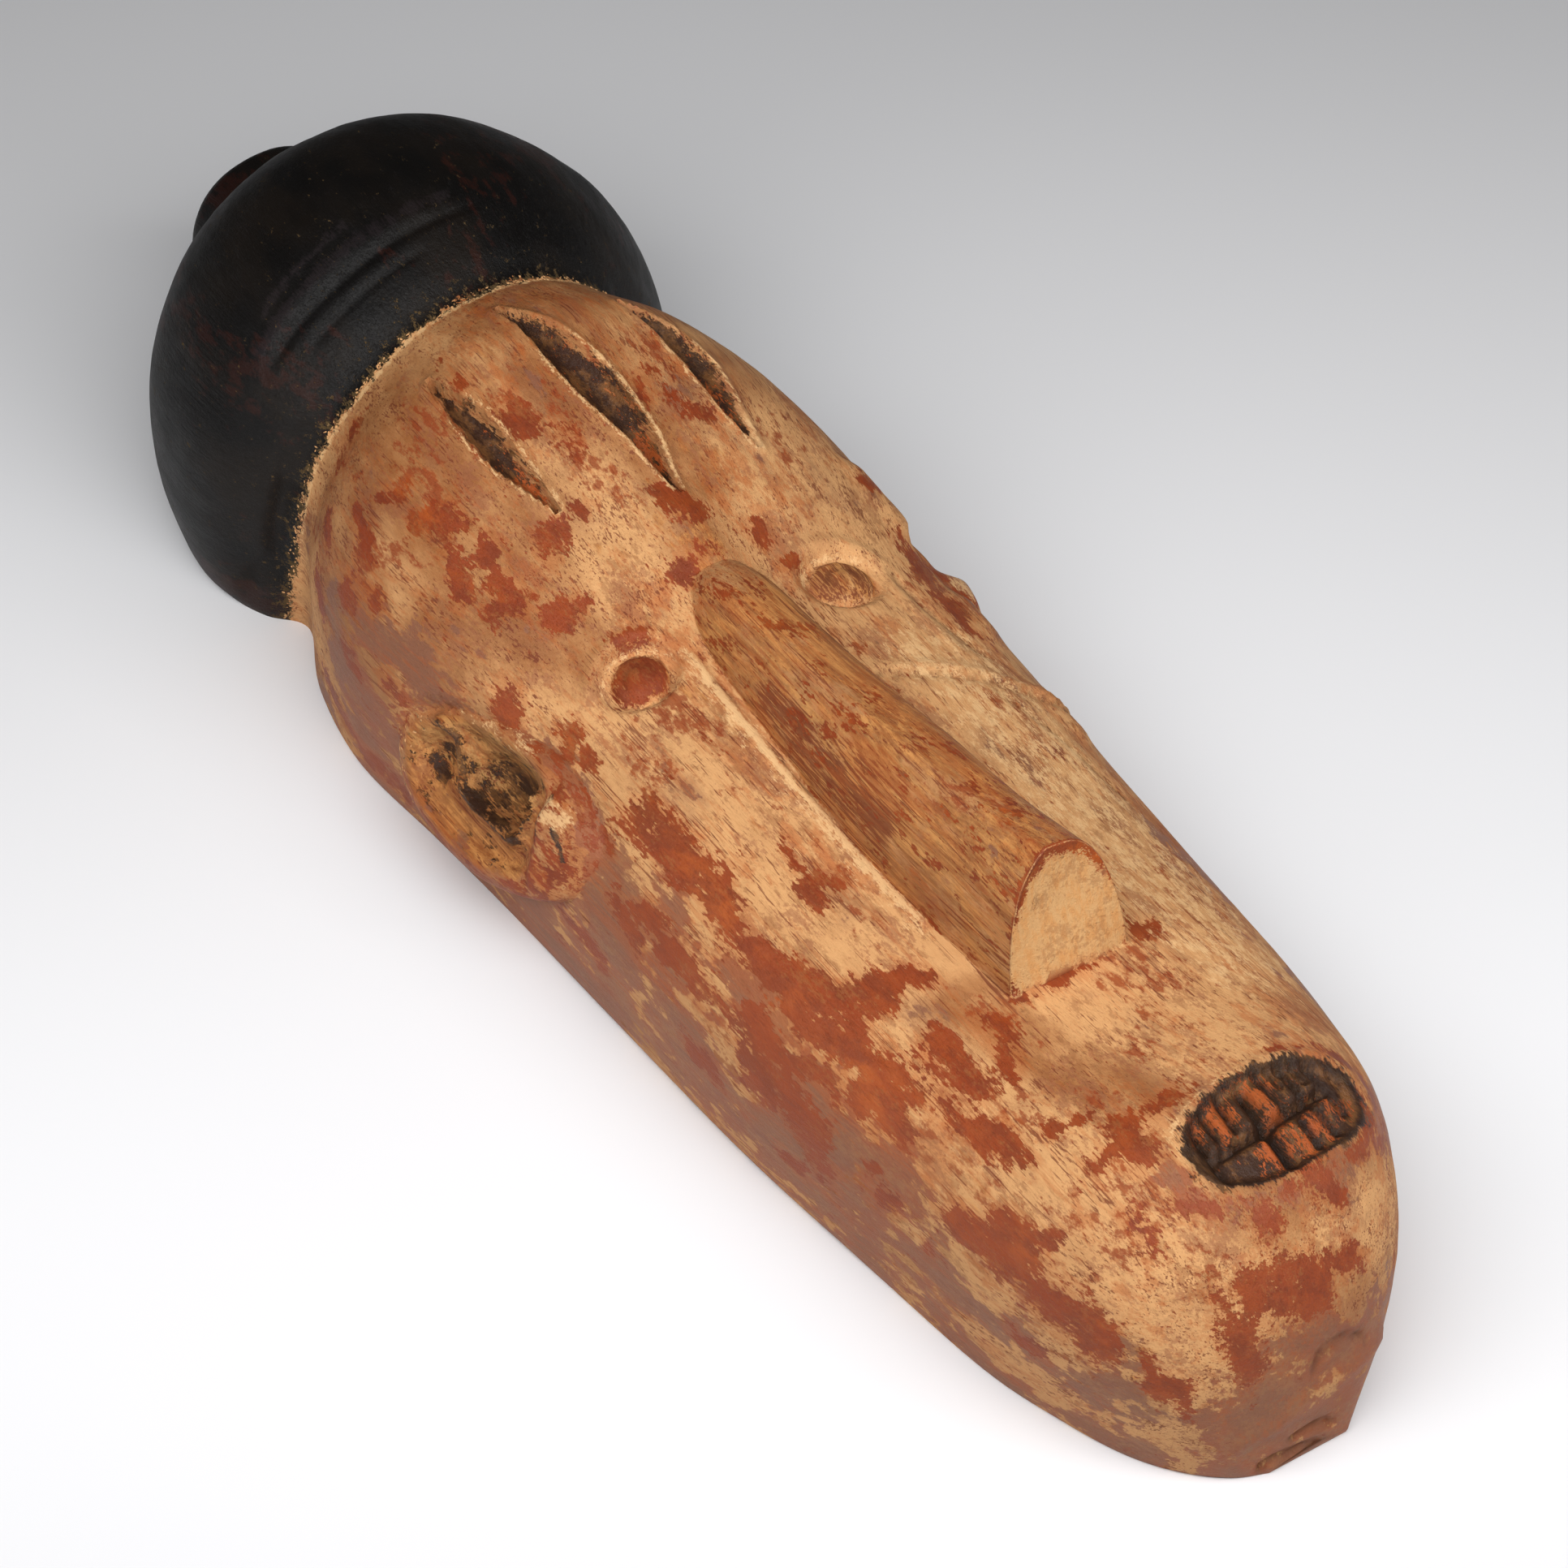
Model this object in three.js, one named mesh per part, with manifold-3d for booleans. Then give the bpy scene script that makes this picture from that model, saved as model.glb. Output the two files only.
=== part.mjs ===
// A face mask carved from one block of wood, lying on its rim with the face up.
// X runs across the face, Y from chin to crown, Z up out of the hollow back. Millimetres.
import * as THREE from 'three';
import { mergeVertices } from 'three/addons/utils/BufferGeometryUtils.js';
import Module from 'manifold-3d';

// Cross-sections from chin to crown, measured from the middle of the face.
// rimY, topY: where a section meets the floor and the centre line. rimL, rimR: half-widths
// on the floor. wideL, wideR: widest half-widths, at height wideZ. top: height on the
// centre line. square: 2 is round, more is boxier.
const SECTION_KEYS = ['rimY', 'topY', 'rimL', 'rimR', 'wideL', 'wideR', 'wideZ', 'top', 'square'];
const SECTIONS = [
  [-260, -261, 22, 4, 22, 4, 2, 3, 2.0],
  [-256, -260, 31, 8, 33, 10, 9, 26, 2.1],
  [-247, -256, 41.5, 12, 43.5, 21, 17, 48, 2.2],
  [-234, -247, 50.5, 19, 52, 33.5, 22, 64, 2.3],
  [-215, -232, 58, 36, 60, 46, 25, 78, 2.3],
  [-190, -205, 65, 51.5, 66.5, 59, 25, 83, 2.4],
  [-150, -158, 70, 65, 72, 70, 25, 75, 2.5],
  [-90, -92, 76, 73, 80, 76, 25, 73, 2.6],
  [-20, -20, 80, 77, 83, 81, 27, 78, 2.5],
  [35, 33, 82.5, 79, 85, 85.5, 28, 82, 2.4],
  [75, 70, 85, 80, 88, 86.5, 30, 95, 2.3],
  [118, 112, 88, 82, 90, 85, 32, 109, 2.2],
  [155, 145, 82, 76, 83, 76, 34, 117, 2.1],
  [178, 168, 72, 66, 73, 65, 34, 114, 2.0],
  [188, 180, 71, 65, 72, 64, 34, 111, 2.0],
  [198, 192, 79, 71, 81, 74, 36, 117, 2.0],
  [214, 213, 84, 76, 89, 83, 36, 125, 2.0],
  [235, 238, 83, 76, 90, 87, 36, 127, 2.0],
  [262, 268, 73, 66, 83, 79, 36, 121, 2.0],
  [285, 292, 52, 46, 64, 60, 38, 102, 2.0],
  [298, 306, 30, 26, 40, 38, 40, 79, 2.0],
  [303, 312, 6, 6, 9, 9, 42, 58, 2.0],
];
const ARC_SHARE = 0.78; // share of each side's columns that lie above the widest line
const SHELL = { rows: 54, columns: 34 };

// wall and roof: wood left at the sides and above. highest: the roof is taken from no higher
// an outside than this. belly: how far the sides may widen above the rim. least: smallest
// half-width. below: how far the cutting body reaches under the floor.
const HOLLOW = {
  chinY: -226, crownY: 252, wall: 14, roof: 19, highest: 118, belly: 4, least: 4, below: 6,
  endRounding: 4, fullest: 0.96, rows: 24, columns: 20,
};

// base: the buried foot. foot: where the end face meets the face. lean: how far the top of the
// end face lies behind its foot, made up over leanShare of the length.
const NOSE = { base: 60, foot: 72, lean: 9, leanShare: 0.25, square: 2.4, rows: 12, columns: 14 };
// from the tip to the root: y, left and right half-width, height of the nose's back
const NOSE_LINE = [
  [-135, 21, 19, 112.5],
  [-97, 23, 18.5, 105.5],
  [-60, 24, 18, 102],
  [-25, 23, 17, 97.5],
  [8, 21, 16, 95.5],
  [38, 18, 15.5, 93.5],
  [62, 12, 11, 84],
];

const EYE = { x: 37, y: 30, pit: 13, floor: 10.4, depth: 6, boss: 9.5, bossDrop: 1 };

const BROW_CUT = { halfWidth: 6, depth: 9 };
const BROW_CUTS = [
  { x: -35, y: 118, halfLength: 32 },
  { x: 1, y: 118, halfLength: 40 },
  { x: 38, y: 121, halfLength: 32 },
];

const MOUTH = { x: 4, y: -213, halfWidth: 29, halfHeight: 18, depth: 7, slope: 9 };
const TEETH = { count: 5, pitch: 9, groove: 3.5, length: 11, slit: 3, slitReach: 26, slitSink: 3 };
const MOUTH_RAISE = 1; // the middle of the mouth's hollow lies this far above the face

// Each ear is a dished oval shelf that leans outwards from its upper edge. Its own x points
// out of the dish, y runs to the crown and z up to the temple.
const EAR = { z: 42, halfLength: 52, halfHeight: 24, depth: 10, lean: 29, tilt: -11 };
const EAR_PLACES = [{ side: -1, x: 81, y: 40 }, { side: 1, x: 78, y: 62 }];
const EAR_BOWL = { out: 9, y: 7, z: 2, halfLength: 38, halfHeight: 15, depth: 8 };
const EAR_CURL = { radius: 3, out: 2, path: [[-26, 6], [-16, -3], [-2, -7], [10, -3], [14, 5], [26, 7]] };

const KNOB = { radius: 31, edge: 8, z: 42, endY: 340, rootY: 298, edgeSteps: 5, columns: 26 };

const WELD = 1e-3; // points closer than this are one point
const SEARCH_STEP = 1e-5; // how finely a share of the section list is found

const wasm = await Module();
wasm.setup();

function toSolid(geometry) {
  const shape = geometry.clone();
  shape.deleteAttribute('normal');
  shape.deleteAttribute('uv');
  const merged = mergeVertices(shape, WELD);
  const corners = merged.index.array;
  const faces = [];
  for (let i = 0; i < corners.length; i += 3) {
    const [a, b, c] = corners.slice(i, i + 3);
    if (a !== b && b !== c && c !== a) faces.push(a, b, c);
  }
  return new wasm.Manifold(new wasm.Mesh({
    numProp: 3,
    vertProperties: new Float32Array(merged.attributes.position.array),
    triVerts: new Uint32Array(faces),
  }));
}

function toGeometry(solid) {
  const mesh = solid.getMesh();
  const geometry = new THREE.BufferGeometry();
  geometry.setAttribute('position', new THREE.BufferAttribute(new Float32Array(mesh.vertProperties), 3));
  geometry.setIndex(new THREE.BufferAttribute(new Uint32Array(mesh.triVerts), 1));
  geometry.computeVertexNormals();
  return geometry;
}

// A smooth curve through equally spaced rows of numbers, at share 0..1 of its length.
function smoothRow(rows, share) {
  const last = rows.length - 1;
  const place = THREE.MathUtils.clamp(share, 0, 1) * last;
  const i = Math.min(Math.floor(place), last - 1);
  const f = place - i;
  const [a, b, c, d] = [-1, 0, 1, 2].map((k) => rows[THREE.MathUtils.clamp(i + k, 0, last)]);
  return b.map((_, k) => b[k] + 0.5 * f * (c[k] - a[k]
    + f * (2 * a[k] - 5 * b[k] + 4 * c[k] - d[k] + f * (3 * b[k] - a[k] - 3 * c[k] + d[k]))));
}

function sectionAt(share) {
  return Object.fromEntries(smoothRow(SECTIONS, share).map((size, k) => [SECTION_KEYS[k], size]));
}

// The share of the section list at which the named y is passed.
function shareAt(y, key) {
  let [low, high] = [0, 1];
  while (high - low > SEARCH_STEP) {
    const middle = (low + high) / 2;
    if (sectionAt(middle)[key] < y) low = middle; else high = middle;
  }
  return low;
}

function faceHeight(x, y) {
  const { wideL, wideR, wideZ, top, square } = sectionAt(shareAt(y, 'topY'));
  const aside = Math.abs(x) / (x < 0 ? wideL : wideR);
  return wideZ + (top - wideZ) * (1 - aside ** square) ** (1 / square);
}

// A point of a section; across runs from -1 at the left rim to 1 at the right rim.
function sectionPoint(section, across) {
  const { rimY, topY, wideZ, top, square } = section;
  const [rim, wide] = across < 0 ? [section.rimL, section.wideL] : [section.rimR, section.wideR];
  const turn = Math.abs(across);
  let x;
  let z;
  if (turn <= ARC_SHARE) {
    const angle = (turn / ARC_SHARE) * Math.PI / 2;
    x = wide * Math.sin(angle) ** (2 / square);
    z = wideZ + (top - wideZ) * Math.max(Math.cos(angle), 0) ** (2 / square);
  } else {
    const angle = ((turn - ARC_SHARE) / (1 - ARC_SHARE)) * Math.PI / 2;
    x = rim + (wide - rim) * Math.cos(angle);
    z = turn === 1 ? 0 : wideZ * (1 - Math.sin(angle));
  }
  return [Math.sign(across) * x, topY + (rimY - topY) * (1 - z / top), z];
}

// A closed body from rows of points: each row is an open arch, closed along its foot.
function archBody({ rows, columns }, pointAt) {
  const points = [];
  for (let i = 0; i <= rows; i++) {
    for (let j = 0; j <= columns; j++) points.push(...pointAt(i / rows, 2 * j / columns - 1));
  }
  const wide = columns + 1;
  const faces = [];
  for (let i = 0; i < rows; i++) {
    for (let j = 0; j < wide; j++) {
      const next = (j + 1) % wide;
      const [a, b, c, d] = [i * wide + j, i * wide + next, (i + 1) * wide + next, (i + 1) * wide + j];
      faces.push(a, b, c, a, c, d);
    }
  }
  for (let j = 1; j < columns; j++) {
    faces.push(0, j + 1, j);
    faces.push(rows * wide, rows * wide + j, rows * wide + j + 1);
  }
  const geometry = new THREE.BufferGeometry();
  geometry.setAttribute('position', new THREE.Float32BufferAttribute(points, 3));
  geometry.setIndex(faces);
  return toSolid(geometry);
}

function ball(halfSizes, columns, rows) {
  return new THREE.SphereGeometry(1, columns, rows).scale(...halfSizes);
}

function block() {
  return archBody(SHELL, (share, across) => sectionPoint(sectionAt(share), across));
}

// The hollow follows the outside at an even wall and rounds off at both ends.
function hollow() {
  return archBody(HOLLOW, (share, across) => {
    const y = THREE.MathUtils.lerp(HOLLOW.chinY, HOLLOW.crownY, share);
    const outer = sectionAt(shareAt(y, 'rimY'));
    const fromMiddle = HOLLOW.fullest * (2 * share - 1);
    const swell = Math.sqrt(1 - fromMiddle ** HOLLOW.endRounding);
    const thin = (halfWidth) => Math.max(halfWidth - HOLLOW.wall, HOLLOW.least) * swell;
    const inner = {
      ...outer,
      topY: y,
      rimL: thin(outer.rimL),
      rimR: thin(outer.rimR),
      wideL: thin(Math.min(outer.wideL, outer.rimL + HOLLOW.belly)),
      wideR: thin(Math.min(outer.wideR, outer.rimR + HOLLOW.belly)),
      top: (Math.min(outer.top, HOLLOW.highest) - HOLLOW.roof) * swell,
      wideZ: outer.wideZ * swell,
    };
    const [px, py, pz] = sectionPoint(inner, across);
    return [px, py, Math.abs(across) === 1 ? -HOLLOW.below : pz];
  });
}

function nose() {
  return archBody(NOSE, (share, across) => {
    const [y, left, right, top] = smoothRow(NOSE_LINE, share);
    const aside = across < 0 ? left : right;
    const angle = across * Math.PI / 2;
    const rise = Math.max(Math.cos(angle), 0) ** (2 / NOSE.square);
    const z = NOSE.base + (top - NOSE.base) * rise;
    const lean = NOSE.lean * Math.max(1 - share / NOSE.leanShare, 0) * (z - NOSE.foot) / (top - NOSE.foot);
    return [aside * Math.sign(angle) * Math.abs(Math.sin(angle)) ** (2 / NOSE.square), y + lean, z];
  });
}

function eyePit(side) {
  const pit = new THREE.CylinderGeometry(EYE.pit, EYE.floor, 2 * EYE.depth, 22).rotateX(Math.PI / 2);
  return toSolid(pit.translate(side * EYE.x, EYE.y, faceHeight(side * EYE.x, EYE.y)));
}

function eyeBoss(side) {
  const boss = ball([EYE.boss, EYE.boss, EYE.depth], 16, 10);
  const z = faceHeight(side * EYE.x, EYE.y) - EYE.depth - EYE.bossDrop;
  return toSolid(boss.translate(side * EYE.x, EYE.y, z));
}

function browCut({ x, y, halfLength }) {
  const slope = Math.atan2(faceHeight(x, y + halfLength) - faceHeight(x, y - halfLength), 2 * halfLength);
  const leaf = ball([BROW_CUT.halfWidth, halfLength, BROW_CUT.depth], 12, 14).rotateX(slope);
  return toSolid(leaf.translate(x, y, faceHeight(x, y)));
}

function mouthCuts() {
  const place = (shape, x, y, sink) => toSolid(shape
    .rotateX(THREE.MathUtils.degToRad(MOUTH.slope))
    .translate(MOUTH.x + x, MOUTH.y + y, faceHeight(MOUTH.x, MOUTH.y) - sink));
  const cuts = [place(ball([MOUTH.halfWidth, MOUTH.halfHeight, MOUTH.depth], 26, 12), 0, 0, -MOUTH_RAISE)];
  cuts.push(place(ball([TEETH.slitReach, TEETH.slit, MOUTH.depth], 18, 8), 0, 0, TEETH.slitSink));
  for (let i = 0; i < TEETH.count; i++) {
    const x = (i - (TEETH.count - 1) / 2) * TEETH.pitch;
    const reach = Math.sqrt(1 - (x / MOUTH.halfWidth) ** 2);
    const sink = MOUTH.depth * reach;
    const groove = new THREE.BoxGeometry(TEETH.groove, 2 * TEETH.length * reach, TEETH.groove);
    cuts.push(place(groove.rotateY(Math.PI / 4), x, 0, sink));
  }
  return cuts;
}

function turnInsideOut(geometry) {
  const faces = geometry.index.array;
  for (let i = 0; i < faces.length; i += 3) [faces[i], faces[i + 1]] = [faces[i + 1], faces[i]];
  return geometry;
}

// The shelf and the curl stand out; the bowl is cut from the shelf and the head behind it.
function earShapes({ side, x, y }) {
  const bowlSizes = [EAR_BOWL.depth, EAR_BOWL.halfLength, EAR_BOWL.halfHeight];
  const bowl = ball(bowlSizes, 14, 12).translate(EAR_BOWL.out, EAR_BOWL.y, EAR_BOWL.z);
  const line = EAR_CURL.path.map(([y, z]) => new THREE.Vector3(EAR_CURL.out, y, z));
  const round = new THREE.Shape().absarc(0, 0, EAR_CURL.radius, 0, 2 * Math.PI);
  const curl = new THREE.ExtrudeGeometry(round, {
    extrudePath: new THREE.CatmullRomCurve3(line), steps: 12, curveSegments: 4,
  });
  const place = (shape) => {
    shape.rotateX(THREE.MathUtils.degToRad(EAR.tilt)).rotateY(-THREE.MathUtils.degToRad(EAR.lean));
    shape.translate(x, y, EAR.z);
    return toSolid(side > 0 ? shape : turnInsideOut(mergeVertices(shape.scale(-1, 1, 1))));
  };
  const shelf = ball([EAR.depth, EAR.halfLength, EAR.halfHeight], 16, 12);
  return { shelf: place(shelf), bowl: place(bowl), curl: place(curl) };
}

function knob() {
  const { radius, edge, endY, rootY, edgeSteps } = KNOB;
  const profile = [new THREE.Vector2(0, rootY), new THREE.Vector2(radius, rootY)];
  for (let i = 0; i <= edgeSteps; i++) {
    const angle = (i / edgeSteps) * Math.PI / 2;
    const out = radius - edge + edge * Math.cos(angle);
    profile.push(new THREE.Vector2(out, endY - edge + edge * Math.sin(angle)));
  }
  profile.push(new THREE.Vector2(0, endY));
  return toSolid(new THREE.LatheGeometry(profile, KNOB.columns).translate(0, 0, KNOB.z));
}

function carve() {
  let work = block().add(nose()).add(knob());
  const ears = EAR_PLACES.map(earShapes);
  ears.forEach(({ shelf }) => { work = work.add(shelf); });
  work = work.subtract(hollow());
  ears.forEach(({ bowl, curl }) => { work = work.subtract(bowl).add(curl); });
  BROW_CUTS.forEach((cut) => { work = work.subtract(browCut(cut)); });
  mouthCuts().forEach((cut) => { work = work.subtract(cut); });
  [-1, 1].forEach((side) => { work = work.subtract(eyePit(side)).add(eyeBoss(side)); });
  return work;
}

const wood = new THREE.MeshStandardMaterial({ color: 0xc49a68, roughness: 0.85, metalness: 0 });
const mask = new THREE.Mesh(toGeometry(carve()), wood);
mask.name = 'mask';
mask.geometry.computeBoundingBox();
const middle = mask.geometry.boundingBox.getCenter(new THREE.Vector3());
mask.geometry.translate(-middle.x, -middle.y, 0);

const group = new THREE.Group();
group.add(mask);
export default group;
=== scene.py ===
import math

import bmesh
import bpy
import numpy as np
from bpy.props import FloatProperty, FloatVectorProperty, PointerProperty
from mathutils import Matrix, Vector, kdtree


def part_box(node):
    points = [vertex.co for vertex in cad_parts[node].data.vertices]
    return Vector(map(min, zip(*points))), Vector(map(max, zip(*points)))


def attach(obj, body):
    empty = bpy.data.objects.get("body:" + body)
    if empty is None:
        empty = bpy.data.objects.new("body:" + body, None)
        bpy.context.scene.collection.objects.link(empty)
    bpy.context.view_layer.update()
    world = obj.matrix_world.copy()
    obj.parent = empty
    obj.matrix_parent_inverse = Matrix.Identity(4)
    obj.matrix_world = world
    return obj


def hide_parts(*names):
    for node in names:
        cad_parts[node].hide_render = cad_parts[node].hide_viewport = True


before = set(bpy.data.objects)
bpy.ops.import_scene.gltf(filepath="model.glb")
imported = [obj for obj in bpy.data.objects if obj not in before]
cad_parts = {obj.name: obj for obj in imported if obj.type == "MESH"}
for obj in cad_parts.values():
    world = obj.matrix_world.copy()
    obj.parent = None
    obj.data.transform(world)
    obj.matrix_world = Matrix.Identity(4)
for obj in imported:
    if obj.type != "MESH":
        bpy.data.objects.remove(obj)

bl_info = {
    "name": "Dogon Mask",
    "version": (1, 0, 0),
    "blender": (4, 5, 0),
    "location": "3D View > Sidebar > Mask",
    "description": "Carves, weathers and paints a long wooden face mask, and lays it on a studio floor",
    "category": "Object",
}

MM = 0.001
MIDDLE = (-1.5, 39.5, 0.0)  # the middle of the mask's outline, from the middle of the face, mm

# Cross-sections from chin to crown, in mm from the middle of the face: where each meets the
# floor and the centre line, half-widths on the floor and at the widest, the widest height,
# the height of the centre line, and how square it is.
SECTIONS = [
    (-260, -261, 22, 4, 22, 4, 2, 3, 2.0),
    (-256, -260, 31, 8, 33, 10, 9, 26, 2.1),
    (-247, -256, 41.5, 12, 43.5, 21, 17, 48, 2.2),
    (-234, -247, 50.5, 19, 52, 33.5, 22, 64, 2.3),
    (-215, -232, 58, 36, 60, 46, 25, 78, 2.3),
    (-190, -205, 65, 51.5, 66.5, 59, 25, 83, 2.4),
    (-150, -158, 70, 65, 72, 70, 25, 75, 2.5),
    (-90, -92, 76, 73, 80, 76, 25, 73, 2.6),
    (-20, -20, 80, 77, 83, 81, 27, 78, 2.5),
    (35, 33, 82.5, 79, 85, 85.5, 28, 82, 2.4),
    (75, 70, 85, 80, 88, 86.5, 30, 95, 2.3),
    (118, 112, 88, 82, 90, 85, 32, 109, 2.2),
    (155, 145, 82, 76, 83, 76, 34, 117, 2.1),
    (178, 168, 72, 66, 73, 65, 34, 114, 2.0),
    (188, 180, 71, 65, 72, 64, 34, 111, 2.0),
    (198, 192, 79, 71, 81, 74, 36, 117, 2.0),
    (214, 213, 84, 76, 89, 83, 36, 125, 2.0),
    (235, 238, 83, 76, 90, 87, 36, 127, 2.0),
    (262, 268, 73, 66, 83, 79, 36, 121, 2.0),
    (285, 292, 52, 46, 64, 60, 38, 102, 2.0),
    (298, 306, 30, 26, 40, 38, 40, 79, 2.0),
    (303, 312, 6, 6, 9, 9, 42, 58, 2.0),
]
RIM_Y, TOP_Y, RIM_L, RIM_R, WIDE_L, WIDE_R, WIDE_Z, TOP, SQUARE = range(9)
ARC_SHARE = 0.78  # share of each side's columns above the widest line
FINE_STEPS = 6001  # rows of the table when a place along the mask is looked up in it
FACE_FROM = (45, 60)  # heights between which the sides give way to the front of the face, mm

# y from, y to, spacing of the rows there
ROW_STEPS = [(-247, -236, 1.3), (-236, -192, 0.85), (8, 52, 1.3), (78, 165, 1.5), (165, 210, 1.4)]
ROW_STEP, COLUMN_STEP, FACE_COLUMN_STEP, FACE_HALF_WIDTH = 2.2, 2.1, 1.1, 74  # mm
ROW_EASE = 60  # fine rows over which one spacing turns into the next
WIDEST_SHARE = 0.34  # where along the mask the columns are spaced out

# From the tip to the root of the nose: y, left and right half-width, height of its back, mm
NOSE_LINE = [
    (-135, 21, 19, 112.5),
    (-97, 23, 18.5, 105.5),
    (-60, 24, 18, 102),
    (-25, 23, 17, 97.5),
    (8, 21, 16, 95.5),
    (38, 18, 15.5, 93.5),
    (62, 12, 11, 84),
]
NOSE = {"base": 60, "foot": 72, "lean": 9, "lean_share": 0.25, "square": 2.4}
NOSE_END_RINGS = (0.1, 0.3, 0.52, 0.7, 0.82, 0.9, 0.95, 0.985)  # sizes of the rings of the blunt end
NOSE_END_PLANE = ([60, 114], [-137.5, -126])  # heights on the end, and y there, mm
NOSE_END_CRACKS = ([(-17, 77, 1), (15, 85, 1)], [(-15, 93, 1), (2, 109, 1)])
NOSE_SKIN = 2.0  # ring size that marks the skin of the nose, away from its end
HOLLOW = {"chin": -226, "crown": 252, "wall": 14, "roof": 19, "highest": 118, "belly": 4,
          "least": 4, "below": 6, "rounding": 4, "fullest": 0.96}
EAR = {"z": 42, "half_length": 52, "half_height": 24, "depth": 10, "lean": 29, "tilt": -11}
EAR_PLACES = [(-1, 81, 40), (1, 78, 62)]
EAR_BOWL = (-4, 4.5, 17, 9.5)  # its middle along and up the ear, and its half-sizes
EAR_RIDGE = [(28, 13, 2.2), (20, 11, 2.6), (15, 4, 3.0), (11, -2, 3.2), (4, -4, 3.2), (-6, -5, 3.0),
             (-15, -7, 2.4), (-20, -4, 2.2), (-20, 9, 2.0)]
EAR_PIT = (28, 0, 6)  # its middle along and up the ear, and its size
EAR_CRACKS = ([(-28, 12, 1), (-29, 0, 1)], [(-36, 6, 1), (-41, -3, 1)])
KNOB = {"radius": 31, "edge": 8, "z": 42, "end": 340, "root": 298}

BODY, NOSE_PART, KNOB_PART, EAR_PART, HOLLOW_PART = range(5)
CARVING_SEED, CRUMB_SEED = 7.0, 11
WOOD_GLOSS, FLOOR_GLOSS, FLOOR_ROUGHNESS = 0.22, 0.2, 0.7
FLOOR_REACH = 6.0  # half the width of the floor, m
KEY_SIZE, FRONT_SIZE = (1.6, 0.5), (1.0, 0.8)  # width and height of the lights, m
SENSOR_WIDTH, LENS_ANGLE = 36.0, math.radians(20)  # sensor in mm
SEAM_PASSES = 5  # times that the seams between the parts are smoothed
SHARPEST = math.radians(52)  # turns between faces up to this are shaded as one surface


def smooth_rows(rows, share):
    rows = np.asarray(rows, float)
    last = len(rows) - 1
    place = np.clip(np.asarray(share, float), 0, 1) * last
    i = np.minimum(place.astype(int), last - 1)
    f = (place - i)[:, None]
    a, b, c, d = (rows[np.clip(i + k, 0, last)] for k in (-1, 0, 1, 2))
    return b + 0.5 * f * (c - a + f * (2 * a - 5 * b + 4 * c - d + f * (3 * b - a - 3 * c + d)))


def section_points(sections, across):
    columns = [sections[:, k, None] for k in range(9)]
    rim_y, top_y, rim_l, rim_r, wide_l, wide_r, wide_z, top, square = columns
    left = across[None, :] < 0
    rim, wide = np.where(left, rim_l, rim_r), np.where(left, wide_l, wide_r)
    turn = np.abs(across)[None, :]
    high = np.clip(turn / ARC_SHARE, 0, 1) * math.pi / 2
    low = np.clip((turn - ARC_SHARE) / (1 - ARC_SHARE), 0, 1) * math.pi / 2
    upper = turn <= ARC_SHARE
    x = np.where(upper, wide * np.sin(high) ** (2 / square), rim + (wide - rim) * np.cos(low))
    arch = np.clip(np.cos(high), 0, 1) ** (2 / square)
    z = np.where(upper, wide_z + (top - wide_z) * arch, wide_z * (1 - np.sin(low)))
    y = top_y + (rim_y - top_y) * (1 - z / top)
    return np.stack([np.sign(across)[None, :] * x, y, z + 0 * x], axis=-1)


def run_length(points):
    steps = np.linalg.norm(np.diff(points, axis=0), axis=1)
    return np.concatenate([[0], np.cumsum(steps)])


def row_shares():
    fine = np.linspace(0, 1, FINE_STEPS)
    table = smooth_rows(SECTIONS, fine)
    length = run_length(table[:, [TOP_Y, TOP]])
    step = np.full(len(fine), ROW_STEP)
    for low, high, spacing in ROW_STEPS:
        step[(table[:, TOP_Y] > low) & (table[:, TOP_Y] < high)] = spacing
    window = 2 * ROW_EASE + 1
    step = np.convolve(np.pad(step, ROW_EASE, mode="edge"), np.ones(window) / window, mode="valid")
    count = np.concatenate([[0], np.cumsum(np.diff(length) / step[1:])])
    shares = np.interp(np.linspace(0, count[-1], int(count[-1]) + 1), count, fine)
    return shares, np.interp(shares, fine, length)


def column_places():
    fine = np.linspace(0, 1, 3001)
    middle = smooth_rows(SECTIONS, np.array([WIDEST_SHARE]))
    length = run_length(section_points(middle, fine)[0])
    step = np.where(length < FACE_HALF_WIDTH, FACE_COLUMN_STEP, COLUMN_STEP)
    count = np.concatenate([[0], np.cumsum(np.diff(length) / step[1:])])
    half = np.interp(np.linspace(0, count[-1], int(count[-1]) + 1), count, fine)
    return np.concatenate([-half[:0:-1], half])


# The part makers below return points in mm from the middle of the face, faces, the part, and
# each point's place round and along the surface.


def arch_faces(rows, columns):
    """Rows of open arches closed along the foot and over both ends."""
    i, j = np.meshgrid(np.arange(rows), np.arange(columns + 1), indexing="ij")
    wide = columns + 1
    following = (j + 1) % wide
    quads = np.stack([i * wide + j, i * wide + following, (i + 1) * wide + following,
                      (i + 1) * wide + j], axis=-1).reshape(-1, 4)
    first = list(range(columns, -1, -1))
    last = [rows * wide + k for k in range(wide)]
    return [*quads.tolist(), first, last]


def body_grid():
    shares, along = row_shares()
    across = column_places()
    grid = section_points(smooth_rows(SECTIONS, shares), across)
    middle = len(across) // 2
    steps = np.linalg.norm(np.diff(grid, axis=1), axis=2)
    right = np.cumsum(steps[:, middle:], axis=1)
    left = np.cumsum(steps[:, :middle][:, ::-1], axis=1)[:, ::-1]
    around = np.concatenate([-left, np.zeros((len(grid), 1)), right], axis=1)
    return grid, around, np.repeat(along[:, None], len(across), axis=1)


def grid_normals(grid):
    down, side = np.gradient(grid, axis=0), np.gradient(grid, axis=1)
    normal = np.cross(side, down)
    size = np.linalg.norm(normal, axis=-1, keepdims=True)
    return normal / np.maximum(size, 1e-9)


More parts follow.
